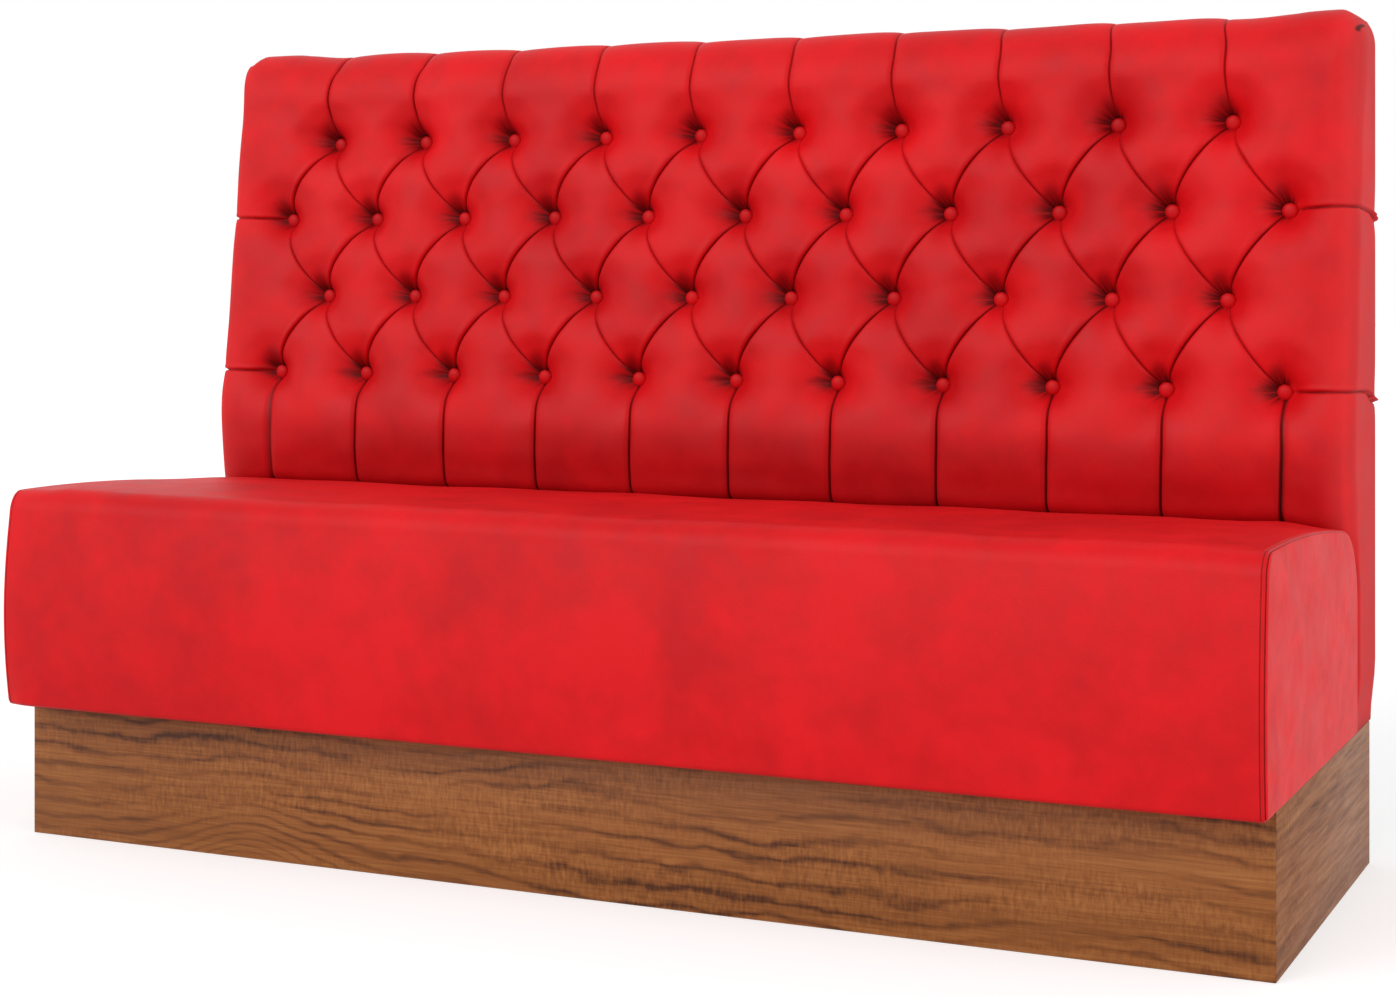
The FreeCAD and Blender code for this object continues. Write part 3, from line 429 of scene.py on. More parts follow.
def repeatTree():
    tree = bpy.data.node_groups.new("repeatPiece", "GeometryNodeTree")
    for name, kind in (("Points", "Geometry"), ("Piece", "Object"), ("Size", "Float"), ("Wobble", "Float"),
                       ("Finish", "Material")):
        tree.interface.new_socket(name, in_out="INPUT", socket_type="NodeSocket" + kind)
    tree.interface.new_socket("Copies", in_out="OUTPUT", socket_type="NodeSocketGeometry")
    start = addNode(tree, "NodeGroupInput")
    seed = addNode(tree, "GeometryNodeObjectInfo", None, {"Object": start.outputs["Piece"]})
    turn = addNode(tree, "GeometryNodeInputNamedAttribute", {"data_type": "FLOAT_VECTOR"}, {"Name": "turn"})
    rotation = addNode(tree, "FunctionNodeEulerToRotation", None, {0: turn.outputs[0]})
    spin = addNode(tree, "FunctionNodeRandomValue", {"data_type": "FLOAT"})
    spin.inputs[2].default_value = -1.0
    spin.inputs[3].default_value = 1.0
    spin.inputs["Seed"].default_value = 5
    tilt = times(tree, spin.outputs[1], start.outputs["Wobble"])
    aboutZ = addNode(tree, "ShaderNodeCombineXYZ", None, {"Z": tilt})
    local = addNode(tree, "FunctionNodeEulerToRotation", None, {0: aboutZ.outputs[0]})
    both = addNode(tree, "FunctionNodeRotateRotation", {"rotation_space": "LOCAL"},
                   {0: rotation.outputs[0], 1: local.outputs[0]})
    copies = addNode(tree, "GeometryNodeInstanceOnPoints", None,
                     {"Points": start.outputs["Points"], "Instance": seed.outputs["Geometry"],
                      "Rotation": both.outputs[0], "Scale": start.outputs["Size"]})
    real = addNode(tree, "GeometryNodeRealizeInstances", None, {"Geometry": copies.outputs[0]})
    dressed = addNode(tree, "GeometryNodeSetMaterial", None,
                      {"Geometry": real.outputs[0], "Material": start.outputs["Finish"]})
    addNode(tree, "NodeGroupOutput", None, {"Copies": dressed.outputs[0]})
    return tree


placedCopies = repeatTree()


def repeatPiece(name, seed, spots, turns, finish, size=1.0, wobble=0.0):
    mesh = bpy.data.meshes.new(name)
    mesh.from_pydata((np.asarray(spots) * millimetre).tolist(), [], [])
    holder = addObject(name, mesh)
    addField(holder, "turn", turns)
    modifier = holder.modifiers.new("copies", "NODES")
    modifier.node_group = placedCopies
    sockets = {item.name: item.identifier for item in placedCopies.interface.items_tree if item.in_out == "INPUT"}
    for key, value in (("Piece", seed), ("Size", size), ("Wobble", wobble), ("Finish", finish)):
        modifier[sockets[key]] = value
    bakeModifiers(holder)
    bpy.data.objects.remove(seed)
    return holder


def turned(name, profile, sides, ripple=0.0, ripples=0):  # closed round piece about Z
    rings = []
    for radius, height in profile:
        angles = 2 * np.pi * np.arange(sides) / sides
        swell = radius * (1 + ripple * np.cos(ripples * angles) * (radius / profile[0][0]))
        rings.append(np.stack([swell * np.cos(angles), swell * np.sin(angles), np.full(sides, height)], 1))
    points = np.vstack(rings)
    faces = []
    for ring in range(len(profile) - 1):
        for side in range(sides):
            after = (side + 1) % sides
            low, high = ring * sides, (ring + 1) * sides
            faces.append([low + side, low + after, high + after, high + side])
    faces.append(list(range(sides))[::-1])
    faces.append(list(range((len(profile) - 1) * sides, len(profile) * sides)))
    return addMesh(name, points, faces)


# Cloth simulation: how far pinned cloth moves under the push of the foam behind it

fieldCloth = {"mass": 0.3, "tension": 15.0, "bending": 0.4, "damping": 8.0, "quality": 5, "frames": 20}


def clothMoves(points, pins, pressure, cap, slack=0.0):  # points: grid of places in mm; returns the moves in mm
    rows, columns = points.shape[:2]
    ids = np.arange(rows * columns).reshape(rows, columns)
    piece = addMesh("fieldCloth", points.reshape(-1, 3), gridFaces(ids))
    group = piece.vertex_groups.new(name="pins")
    for weight in np.unique(pins[pins > 0]):
        group.add([int(i) for i in np.flatnonzero(pins.ravel() == weight)], float(weight), "REPLACE")
    modifier = piece.modifiers.new("cloth", "CLOTH")
    settings = modifier.settings
    settings.quality = fieldCloth["quality"]
    settings.mass = fieldCloth["mass"]
    settings.tension_stiffness = settings.compression_stiffness = fieldCloth["tension"]
    settings.shear_stiffness = fieldCloth["tension"] / 3
    settings.bending_stiffness = fieldCloth["bending"]
    settings.tension_damping = settings.compression_damping = settings.shear_damping = fieldCloth["damping"]
    settings.vertex_group_mass = "pins"
    settings.use_pressure = True
    settings.uniform_pressure_force = pressure
    settings.shrink_min = -slack
    settings.effector_weights.gravity = 0.0
    modifier.collision_settings.use_collision = False
    modifier.collision_settings.use_self_collision = False
    modifier.point_cache.frame_start = 1
    modifier.point_cache.frame_end = fieldCloth["frames"]
    scene = bpy.context.scene
    for step in range(1, fieldCloth["frames"] + 1):
        scene.frame_set(step)
    settled = piece.evaluated_get(bpy.context.evaluated_depsgraph_get())
    spots = np.zeros(rows * columns * 3)
    settled.data.vertices.foreach_get("co", spots)
    scene.frame_set(1)
    bpy.data.objects.remove(piece)
    moves = spots.reshape(points.shape) / millimetre - points
    length = np.maximum(np.linalg.norm(moves, axis=2, keepdims=True), 1e-6)
    print("Cloth settled: mean move %.2f mm, largest %.2f mm" % (length.mean(), length.max()))
    moves = moves / length * cap * np.tanh(length / cap)
    for turn in range(2):
        for axis in (0, 1):
            moves = (np.roll(moves, 1, axis) + 2 * moves + np.roll(moves, -1, axis)) / 4
    return moves


# Tufted back

tufts = {
    "columnsPerCell": 17,
    "marginColumns": 20,
    "crown": [(214.5, 184), (214.5, 300), (214.5, 391), (209, 416), (196, 435), (180, 448.5), (171.5, 458.5),
              (166.5, 478), (161.5, 507), (159.3, 545), (162, 580), (168, 612), (178, 689), (189.5, 790),
              (200, 880), (207.3, 957), (210.6, 992), (211.5, 1020)],
    "endCrown": [(214.5, 184), (214.5, 290), (214.5, 358), (210.5, 384), (201.5, 407), (186, 426), (172.5, 441),
                 (166, 463), (161.5, 500)],
    "rollDepth": 63.5,
    "rollHeight": 80.0,
    "endRollHeight": 43.0,
    "cornerFoot": 8.0,
    "cornerLow": 34.0,
    "cornerTop": 33.0,
    "leftCorner": 0.8,
    "rearRadius": 5.0,
    "hemDraw": 6.0,
    "hemDrawHeight": 80.0,
    "topDrop": 7.0,
    "topSwell": 2.4,
    "topPleats": (0.95, 0.65),  # strength over the left end and elsewhere
    "topPleatDrift": (5.0, -12.0, -5.0),
    "topPleatBow": 4.5,
    "endTopDrop": 0.5,
    "leftReach": 10.0,
    "rightReach": 1.2,
    "sideDraw": 0.8,
    "bowUp": 1.52,
    "bowDown": 1.38,
    "dimpleReach": 24.0,
    "dimpleSteepness": 1.3,
    "buttonSeat": 8.0,
    "pleatDepth": 2.1,
    "pleatShoulder": 4.6,
    "crease": 6.0,
    "creaseWidth": 0.85,
    "channelBow": 2.4,
    "lip": 1.25,
    "puff": 1.1,
    "wrinkle": 0.5,
    "sideCrease": 1.1,
    "seatEnd": 752.4,
    "pairGap": 0.2,
    "pairSpread": 3.0,
    "pairReach": 9.0,
    "shadeReach": 60,
    "pullFade": (48, 26),  # where the pull of a button starts to end, and over what length
    "wrinkleRing": (20.0, 9.0),
    "sideCreases": {-1: 30.0, 1: 14.0},  # length on the left and on the right of a button
    "petal": (-7.5, 20.0, 11.5, 16.5),  # place aside and above, half width and half height
    "wing": (-22.0, 3.0, 14.0, 6.5),
    "wingShares": (0.85, 0.35, 0.35, 0.35),
    "petalShade": 0.46,
    "pleatShade": 0.8,
    # painted shade low on the back and round its middle
    "lowShades": [(0.16, 610.0, 170.0), (0.12, 560.0, 40.0), (0.08, 980.0, 250.0)],
    "middleShade": (0.07, 60.0, 420.0),
    "bead": (4.4, 3.5, 3.6),
    "endPleatLifts": {0: 0.6, 2: 1.0},
    "stepFoot": 20.0,
    "stepBend": 4.5,
    "stepFine": 1.4,
    "stepNear": 2.7,
    "stepPlain": 6.0,
    "topSteps": 17,
    "clothCell": 7.5,
    "clothFoot": 470.0,
    "clothPush": 4.0,
    "clothCap": 4.0,
    "clothSlack": 0.01,
    "endPath": [(0, 0), (25, 3), (56, 4.5), (100, 4), (140, 2), (175, -0.6), (200, -7), (218, -14.5),
                (240, -17.5)],
}
rowHeights = np.array(bench["rowHeights"])


def stepAt(z):  # level lines lie closer where the cover turns sharply
    if z < 380:
        return tufts["stepFoot"]
    if z < 452:
        return tufts["stepBend"]
    if min(abs(z - rowHeights[0] + 4), abs(z - rowHeights[2] + 4)) < 11:
        return tufts["stepFine"]
    return tufts["stepNear"] if np.abs(rowHeights - z).min() < 30 else tufts["stepPlain"]


def rowSteps():  # where the level lines of the front lie, as (front, height), and how far the ends are off them
    line = throughPoints(tufts["crown"])
    ends = throughPoints(tufts["endCrown"] + tufts["crown"][len(tufts["endCrown"]):])
    length = np.concatenate([[0], np.cumsum(np.linalg.norm(np.diff(line, axis=0), axis=1))])
    here, spots = 0.0, []
    while here < length[-1]:
        y = np.interp(here, length, line[:, 0])
        z = np.interp(here, length, line[:, 1])
        spots.append((y, z, np.interp(here, length, ends[:, 0]) - y, np.interp(here, length, ends[:, 1]) - z))
        here += stepAt(z)
    for z in np.linspace(1020, bench["top"], tufts["topSteps"]):
        spots.append((tufts["crown"][-1][0], z, 0.0, 0.0))
    return np.array(spots)


def pairGap(height):  # half the distance between the two seams of a pair
    near = np.exp(-(np.abs(height[:, None] - rowHeights).min(1) / tufts["pairReach"]) ** 2)
    return tufts["pairGap"] + tufts["pairSpread"] * near


def seamLines(height):  # x of the 22 pleat lines at each height, and how deep each is there
    count = 2 * bench["endColumn"]
    gap = pairGap(height)
    seams = np.zeros((len(height), count))
    strength = np.ones((len(height), count))
    strip = np.clip(np.searchsorted(rowHeights, height, side="right") - 1, -1, 3)
    for index in range(count):
        column = index - bench["endColumn"]
        left, right = column * halfPitch + gap, (column + 1) * halfPitch - gap
        whole, between = (left, right) if column % 2 == 0 else (right, left)
        atEnd = column in (-bench["endColumn"], bench["endColumn"] - 1)
        if atEnd:
            between = whole
        for row in range(-1, 4):
            here = strip == row
            if row == -1:
                seams[here, index] = whole[here]
            elif row == 3:
                seams[here, index] = between[here]
                strength[here, index] = tufts["topPleats"][0 if column < -6 else 1]
            else:
                t = np.clip((height[here] - rowHeights[row]) / (rowHeights[row + 1] - rowHeights[row]), 0, 1)
                low, high = (whole, between) if row % 2 == 0 else (between, whole)
                goesRight = (high[here] > low[here]).mean() > 0.5
                share = t ** tufts["bowUp"] if goesRight else 1 - (1 - t) ** tufts["bowDown"]
                seams[here, index] = low[here] * (1 - share) + high[here] * share
                strength[here, index] = 1.0 if goesRight else 0.8 - 0.4 * t
            if atEnd and row >= 0:
                strength[here, index] = 0.0
    channel = tufts["channelBow"] * np.exp(-((height - 545) / 36.0) ** 2) - 1.6 * smoothStep((500 - height) / 45.0)
    return seams + channel[:, None], strength


def topBow(along):  # sideways run of the pleats over the rolled top, for each of the 22 lines
    place = 2 * ((np.arange(2 * bench["endColumn"]) - bench["endColumn"]) // 2) + 1
    atLeft, inward, onward = tufts["topPleatDrift"]
    drift = atLeft + inward * smoothStep((place + 7.0) / 3.0) + onward * smoothStep(place / 10.0)
    along = np.asarray(along)[:, None]
    bow = tufts["topPleatBow"] * np.sin(np.pi * np.clip(along / 150.0, 0, 1))
    return drift * smoothStep((along - 95.0) / 90.0) - bow


def buttonList():
    for row, height in enumerate(rowHeights):
        first = -10 if row % 2 == 0 else -9
        for column in range(first, -first + 1, 2):
            yield row, column * halfPitch, height


def frontAt(height):
    line = throughPoints(tufts["crown"])
    return np.interp(height, line[:, 1], line[:, 0])


def tuftDepth(x, height):  # how far the buttons pull the cover towards the wall, where its wrinkles lie, and where shade is painted round them
    kept = np.ones_like(x)
    relief = np.zeros_like(x)
    around = np.zeros(x.shape + (3,))
    petals = np.zeros_like(x)
    random = np.random.default_rng(11)
    for row, bx, bz in buttonList():
        reach = tufts["dimpleReach"] * random.uniform(0.93, 1.07)
        phases = random.uniform(0, 2 * np.pi, 4)
        near = (np.abs(x - bx) < halfPitch - 0.1) & (np.abs(height - bz) < 75)
        dx, dz = x[near] - bx, height[near] - bz
        radius = np.hypot(dx, dz)
        angle = np.arctan2(dz, dx)
        stretch = 1 + 0.16 * np.sin(angle) + 0.05 * np.cos(5 * angle + phases[0])
        beyond = np.maximum(radius - tufts["buttonSeat"], 0) / (reach * stretch)
        fadeStart, fadeRun = tufts["pullFade"]
        fade = 1 - smoothStep((radius - fadeStart) / fadeRun)
        pull = np.exp(-1.15 * beyond ** tufts["dimpleSteepness"]) * fade
        kept[near] *= 1 - pull
        ripple = sum(np.cos(number * angle + phase) for number, phase in zip((5, 7, 9, 12), phases))
        side = 0.35 + 0.65 * np.clip(np.cos(angle - 3.4), 0, 1) ** 2
        ringRadius, ringWidth = tufts["wrinkleRing"]
        ring = np.exp(-((radius - ringRadius) / ringWidth) ** 2)
        relief[near] += tufts["wrinkle"] * ripple / 2 * side * ring
        for way, length in tufts["sideCreases"].items():
            along = way * dx - 6.0
            line = np.exp(-((dz - 0.06 * along) / 2.0) ** 2) * np.clip(1 - along / length, 0, 1) * (along > 0)
            relief[near] -= tufts["sideCrease"] * line
        # Shade round the button: deep above, spiky on the left, short below, hardly any on the right
        left = np.clip(np.cos(angle - 2.95), 0, 1) ** 1.3
        below = np.clip(np.cos(angle + 1.95), 0, 1) ** 2
        above = np.clip(np.cos(angle - 1.8), 0, 1) ** 1.1
        right = np.clip(np.cos(angle), 0, 1) ** 2
        weight = np.clip(0.2 + 0.8 * above + 0.7 * left + 0.35 * below - 0.15 * right, 0, 1)
        long = 5.0 + 6.0 * above + 9.0 * left + 2.5 * below
        window = weight * np.exp(-(np.maximum(radius - 9, 0) / long) ** 1.25)
        # Painted shade patches: a petal above each button and a wing on its left
        size = random.uniform(0.88, 1.12)
        for (aside, above, wide, tall), grown, share in ((tufts["petal"], size, 1.0),
                                                         (tufts["wing"], 1.0, tufts["wingShares"][row])):
            spot = ((dx - aside) / (wide * size)) ** 2 + ((dz - above) / (tall * grown)) ** 2
            petals[near] = np.maximum(petals[near], share * np.exp(-spot ** 1.8))
        keep = radius < tufts["shadeReach"]
        nearest = near.copy()
        nearest[near] = keep
        around[nearest] = np.stack([dx[keep], dz[keep], np.clip(window[keep], 0, 1)], -1)
    deepest = bench["seatPlane"] + (height - rowHeights[0]) * math.tan(bench["rake"]) - frontAt(height)
    return np.maximum(deepest, 0) * (1 - kept), relief, around, petals


def cellColumns(left, right):  # columns between two seams, the outermost close beside them
    width = np.maximum(right - left, 1e-6)
    first = np.minimum(0.8 / width, 0.06)
    second = np.minimum(2.1 / width, 0.14)
    count = tufts["columnsPerCell"] - 4
    even = np.arange(1, count)[None, :] / count
    even = 0.55 * (1 - np.cos(np.pi * even)) / 2 + 0.45 * even
    shares = np.hstack([0 * first, first, second, second + (1 - 2 * second) * even, 1 - second, 1 - first])
    return left + width * shares


def nearestSeam(x, seams, *fields):  # distances to the seams, the nearest one, and the fields at it
    gaps = x[:, :, None] - seams[:, None, :]
    nearest = np.abs(gaps).argmin(2)
    aside = np.take_along_axis(gaps, nearest[:, :, None], 2)[:, :, 0]
    return gaps, aside, [np.take_along_axis(field, nearest, 1) for field in fields]


def pleatShape(aside, strength):
    soft = tufts["pleatDepth"] * np.exp(-np.abs(aside) / tufts["pleatShoulder"])
    sharp = tufts["crease"] * np.exp(-(np.abs(aside) / tufts["creaseWidth"]) ** 1.3)
    lip = tufts["lip"] * np.exp(-((aside + 4.0) / 2.5) ** 2)
    return strength * (soft + sharp - lip)


def frontColumns(half, seams):  # columns of the front follow the pleats and crowd towards them
    margin = (np.arange(tufts["marginColumns"]) / tufts["marginColumns"]) ** 1.5
    across = [-half[:, None] + (seams[:, :1] + half[:, None]) * margin]
    for index in range(seams.shape[1] - 1):
        across.append(cellColumns(seams[:, index:index + 1], seams[:, index + 1:index + 2]))
    last = seams[:, -1:]
    across.append(last + (half[:, None] - last) * (1 - np.append(margin, 1.0)[::-1]))
    return np.hstack(across)


def sideStops():  # from the front corner round to the wall side: roll left, wall share, inward turn, step back
    radius = tufts["rearRadius"]
    stops = [(1 - share, 0, 0, 0) for share in (0.2, 0.4, 0.6, 0.8, 1.0)]
    stops += [(0, share / 11, 0, 0) for share in range(1, 12)]
    stops += [(0, 1, radius * (1 - math.cos(turn)), radius * math.sin(turn)) for turn in (0.52, 1.05, 1.5708)]
    stops += [(0, 1, radius + 8.0, radius), (0, 1, radius + 24.0, radius)]
    return np.array(stops).T


def boxPoints(x, z, row, form, stop):  # an inner box with a rolled skin round it; the stop tells how far round
    rollLeft, wallShare, inward, back = stop
    half, cornerY = form["half"][row], form["cornerY"][row]
    corner = form["cornerX"][row] * np.where(x < 0, tufts["leftCorner"], 1.0)
    closeX = np.clip((np.abs(x) - (half - corner)) / corner, 0, 1)
    rollZ = tufts["rollHeight"] + (tufts["endRollHeight"] - tufts["rollHeight"]) * closeX
    closeZ = np.clip((z - (bench["top"] - rollZ)) / rollZ, 0, 1)
    innerY = form["front"][row] + cornerY
    wall = (bench["rear"] - tufts["rearRadius"] - innerY) * wallShare
    size = np.maximum(np.sqrt(closeX ** 2 + rollLeft ** 2 + closeZ ** 2), 1e-9)
    outX, outZ = closeX / size, closeZ / size
    flat = np.maximum(np.hypot(outX, outZ), 1e-9)
    px = np.sign(x) * (np.minimum(np.abs(x), half - corner) + (corner * outX - inward * outX / flat))
    py = innerY + wall - cornerY * rollLeft / size + back
    pz = np.minimum(z, bench["top"] - rollZ) + rollZ * outZ - inward * outZ / flat
    return np.stack([px, py, pz], -1)


def paintedBackShade(x, z):  # painted shade: the cloth is darker low on the back, most above the seat, and round its middle
    tint = sum(share * smoothStep((start - z) / run) for share, start, run in tufts["lowShades"])
    share, middle, reach = tufts["middleShade"]
    tint = tint + share * np.exp(-((x - middle) / reach) ** 2) * smoothStep((980.0 - z) / 200.0)
    return tint * (1 - smoothStep((np.abs(x) - 829.0) / 12.0))


def endPleats(points, normals, ids, height, move, paintedShade):  # pleats that wrap from the end buttons round both ends
    tall, middle = height[:, None], ids.shape[1] // 2
    beadHeight, beadAbove, beadWidth = tufts["bead"]
    for columns in (ids[:, ::-1], ids):
        line, flatIds = points[columns], columns.ravel()
        run = np.cumsum(np.linalg.norm(np.diff(line, axis=1, prepend=line[:, :1]), axis=2), axis=1)
        run = run - run[:, middle:middle + 1] - 10 * halfPitch
        for row, lift in tufts["endPleatLifts"].items():
            offset = np.interp(run, *np.array(tufts["endPath"]).T)
            off = tall - (rowHeights[row] + np.where(offset > 0, offset * lift, offset))
            power = smoothStep((run - 9) / 10.0) * (run > 0)
            bead = beadHeight * np.exp(-((off - beadAbove) / beadWidth) ** 2) * smoothStep((run - 165) / 40)
            move[flatIds] -= normals[flatIds] * (pleatShape(-off, power) - bead).ravel()[:, None]
            # painted shade in the end pleats
            shade = tufts["pleatShade"] * power * np.exp(-(np.abs(off) / 1.3) ** 1.5)
            paintedShade[flatIds] = np.maximum(paintedShade[flatIds], shade.ravel())


def frontCloth(shaped, across, height, seams, strength, awayFrom):  # cloth between the pleats, on an even grid
    cell = tufts["clothCell"]
    xs = np.arange(-820.0, 820.1, cell)
    zs = np.arange(tufts["clothFoot"], 1012.0, cell)

    def evenRows(values):
        return np.array([np.interp(zs, height, column) for column in values.T]).T

    rest = np.zeros((len(zs), len(xs), 3))
    rest[:, :, 0] = xs
    for part in (1, 2):
        rest[:, :, part] = evenRows(np.array([np.interp(xs, line[:, 0], line[:, part]) for line in shaped]))
    lines, active = evenRows(seams), evenRows(strength) > 0
    sideways = np.where(active[:, None, :], np.abs(xs[None, :, None] - lines[:, None, :]), 1000.0).min(2)
    pins = (sideways < 0.62 * cell).astype(float)
    for row, bx, bz in buttonList():
        pins[np.hypot(xs[None, :] - bx, zs[:, None] - bz) < 15] = 1.0
    for row in tufts["endPleatLifts"]:
        pins[(np.abs(zs[:, None] - rowHeights[row] - 3) < 0.62 * cell) & (np.abs(xs[None, :]) > 757)] = 1.0
    pins[:2], pins[-2:], pins[:, :2], pins[:, -2:] = 1.0, 1.0, 1.0, 1.0
    moves = clothMoves(rest, pins, tufts["clothPush"], tufts["clothCap"], tufts["clothSlack"])
    tall = height[:, None]
    spotX = np.clip((across - xs[0]) / cell, 0, len(xs) - 1.001)
    spotZ = np.clip((tall + 0 * across - zs[0]) / cell, 0, len(zs) - 1.001)
    left, under = spotX.astype(int), spotZ.astype(int)
    shareX, shareZ = (spotX - left)[:, :, None], (spotZ - under)[:, :, None]
    lower = moves[under, left] * (1 - shareX) + moves[under, left + 1] * shareX
    upper = moves[under + 1, left] * (1 - shareX) + moves[under + 1, left + 1] * shareX
    inside = ((tall > zs[0]) & (tall < zs[-1]))[:, :, None]
    return (lower * (1 - shareZ) + upper * shareZ) * (inside * (1 - np.exp(-(awayFrom / 4.0) ** 2))[:, :, None])


# The foot follows the seat's ends, the top dips between the ends and the left end reaches out
def fitToSeat(points, moved, steps, width):
    front, endForward, endUp = steps.T[[0, 2, 3]]
    wide, rows, deep = np.abs(moved[:, 0]), len(steps), bench["rear"] - 20
    gridRow = np.concatenate([np.repeat(np.arange(rows), width), np.full(len(points) - rows * width, rows - 1)])
    inFront = np.clip((deep - points[:, 1]) / (deep - front[gridRow]), 0, 1)
    share = smoothStep((wide - tufts["seatEnd"]) / 90.0) * inFront
    moved[:, 1] += endForward[gridRow] * share
    moved[:, 2] += endUp[gridRow] * share
    drop = tufts["topDrop"] + (tufts["endTopDrop"] - tufts["topDrop"]) * smoothStep((wide - 690) / 90)
    phase = np.mod((moved[:, 0] / halfPitch + 1) / 2, 1) * (wide < 9 * halfPitch)
    drop -= tufts["topSwell"] * np.sin(np.pi * phase ** 1.6)
    moved[:, 2] -= drop * smoothStep((points[:, 2] - 1000) / 75)
    moved[:, 0] -= tufts["leftReach"] * smoothStep((-points[:, 0] - 765) / 70)
    moved[:, 0] += tufts["rightReach"] * smoothStep((points[:, 0] - 780) / 50)
    moved[:, 1] = np.minimum(moved[:, 1], bench["rear"])
    # share of the painted highlight and of the extra roughness at the back's ends
    return smoothStep((wide - 800) / 38)


def backCover():
    steps = rowSteps()
    front, height = steps[:, 0], steps[:, 1]
    rows, tall = len(steps), height[:, None]
    half = bench["half"] - tufts["hemDraw"] * (1 - smoothStep((height - bench["base"]) / tufts["hemDrawHeight"]))
    for row in tufts["endPleatLifts"]:
        half = half - tufts["sideDraw"] * np.exp(-((height - rowHeights[row]) / 24.0) ** 2)
    rise = smoothStep((height - 900) / 130)
    low = tufts["cornerFoot"] + (tufts["cornerLow"] - tufts["cornerFoot"]) * smoothStep((height - 425) / 40)
    form = {"half": half, "front": front, "cornerX": low + (tufts["cornerTop"] - low) * rise,
            "cornerY": low + (tufts["rollDepth"] - low) * rise}
    seams, strength = seamLines(height)
    topRise = np.maximum(height - rowHeights[3], 0)
    seams = seams + topBow(topRise) * (strength > 0)
    across = frontColumns(half, seams)
    stops = sideStops()
    count = stops.shape[1]
    rowIds, side = np.arange(rows)[:, None], half[:, None] * np.ones((1, count))
    sheet = np.concatenate([boxPoints(-side, tall, rowIds, form, stops[:, None, :])[:, ::-1],
                            boxPoints(across, tall, rowIds, form, (1.0, 0.0, 0.0, 0.0)),
                            boxPoints(side, tall, rowIds, form, stops[:, None, :])], axis=1)
    # Top, from the rolled edge to the wall side; its ends are the side columns' upper ends
    along = np.cumsum(np.concatenate([[tufts["rollDepth"] / 5] * 5, [5.0] * 11, [4.0] * 3, [8.0, 16.0]]))
    drift = topBow(topRise[-1] + along) - topBow(topRise[-1:])
    inner = across[-1, 1:-1]
    fade = np.clip((bench["half"] - 60 - np.abs(inner)) / 60, 0, 1)
    topX = inner[None, :] + np.array([np.interp(inner, seams[-1], row) for row in drift]) * fade[None, :]
    topPart = boxPoints(topX, bench["top"], rows - 1, form, stops[:, :, None])
    points = np.vstack([sheet.reshape(-1, 3), topPart.reshape(-1, 3)])
    width = sheet.shape[1]
    ids = np.arange(rows * width).reshape(rows, width)
    topIds = rows * width + np.arange(topX.size).reshape(topX.shape)
    lastRow = ids[-1]
    crossIds = np.vstack([lastRow[None, count:-count],
                          np.hstack([lastRow[count - 1::-1][:, None], topIds, lastRow[-count:][:, None]])])
    faces = gridFaces(ids) + gridFaces(crossIds)
    # Close the wall side and the sole
    faces.append([int(i) for i in (*ids[:, 0], *topIds[-1], *ids[::-1, -1])])
    faces.append([int(i) for i in ids[0][::-1]])
    piece = addMesh("backCover", points, faces)
    normals = pointNormals(piece)
    # Pull of the buttons and the pleats
    move = np.zeros_like(points)
    paintedShade = np.zeros(len(points))
    around = np.zeros((len(points), 3))
    frontIds, topIds = ids[:, count:-count].ravel(), topIds.ravel()
    depth, relief, aroundFront, petals = tuftDepth(across, tall + 0 * across)
    gaps, aside, (lean, power) = nearestSeam(across, seams, np.gradient(seams, height, axis=0), strength)
    aside = aside / np.sqrt(1 + lean ** 2)
    foot = smoothStep((tall - 422) / 18)
    power = power * foot
    sunk = np.clip(depth / 34.0, 0, 1)
    awayFrom = np.where(strength[:, None, :] > 0, np.abs(gaps), 1000.0).min(2)
    puff = tufts["puff"] * (1 - np.exp(-awayFrom / 22.0)) * foot
    inwardMove = pleatShape(aside, power) * (1 - 0.75 * sunk) - puff * (1 - sunk) - relief
    move[frontIds, 1] += depth.ravel()
    move[frontIds] -= normals[frontIds] * inwardMove.ravel()[:, None]
    # Painted shade in the pleats, round the buttons and low on the back
    shade = tufts["pleatShade"] * power * np.exp(-(np.abs(aside) / 0.85) ** 1.5)
    paintedShade[frontIds] = (np.maximum(shade, tufts["petalShade"] * petals) + paintedBackShade(across, tall)).ravel()
    around[frontIds] = aroundFront.reshape(-1, 3)
    endPleats(points, normals, ids, height, move, paintedShade)
    # Pleats over the top
    topSeams = seams[-1] + drift * (strength[-1] > 0)
    gaps, aside, (power,) = nearestSeam(topX, topSeams, np.repeat(strength[-1:], count, 0))
    fadeBack = (1 - smoothStep((along - 120) / 40))[:, None]
    topMove = (pleatShape(aside, power * 0.8) - tufts["puff"] * (1 - np.exp(-np.abs(aside) / 22.0))) * fadeBack
    move[topIds] -= normals[topIds] * topMove.ravel()[:, None]
    # painted shade in the top pleats
    paintedShade[topIds] = (0.7 * power * fadeBack * np.exp(-np.abs(aside) ** 1.5)).ravel()
    # Slow unevenness of hand-pulled cloth
    x, z = points[:, 0], points[:, 2]
    uneven = 0.7 * np.sin(x / 61 + 1.7) * np.sin(z / 47 + 0.4) + 0.5 * np.sin(x / 23 + z / 31)
    uneven *= (points[:, 1] < bench["rear"] - 12) * smoothStep((z - 460) / 30)
    move += normals * uneven[:, None]
    shaped = (points + move)[frontIds].reshape(across.shape + (3,))
    move[frontIds] += frontCloth(shaped, across, height, seams, strength, awayFrom).reshape(-1, 3)
    moved = points + move
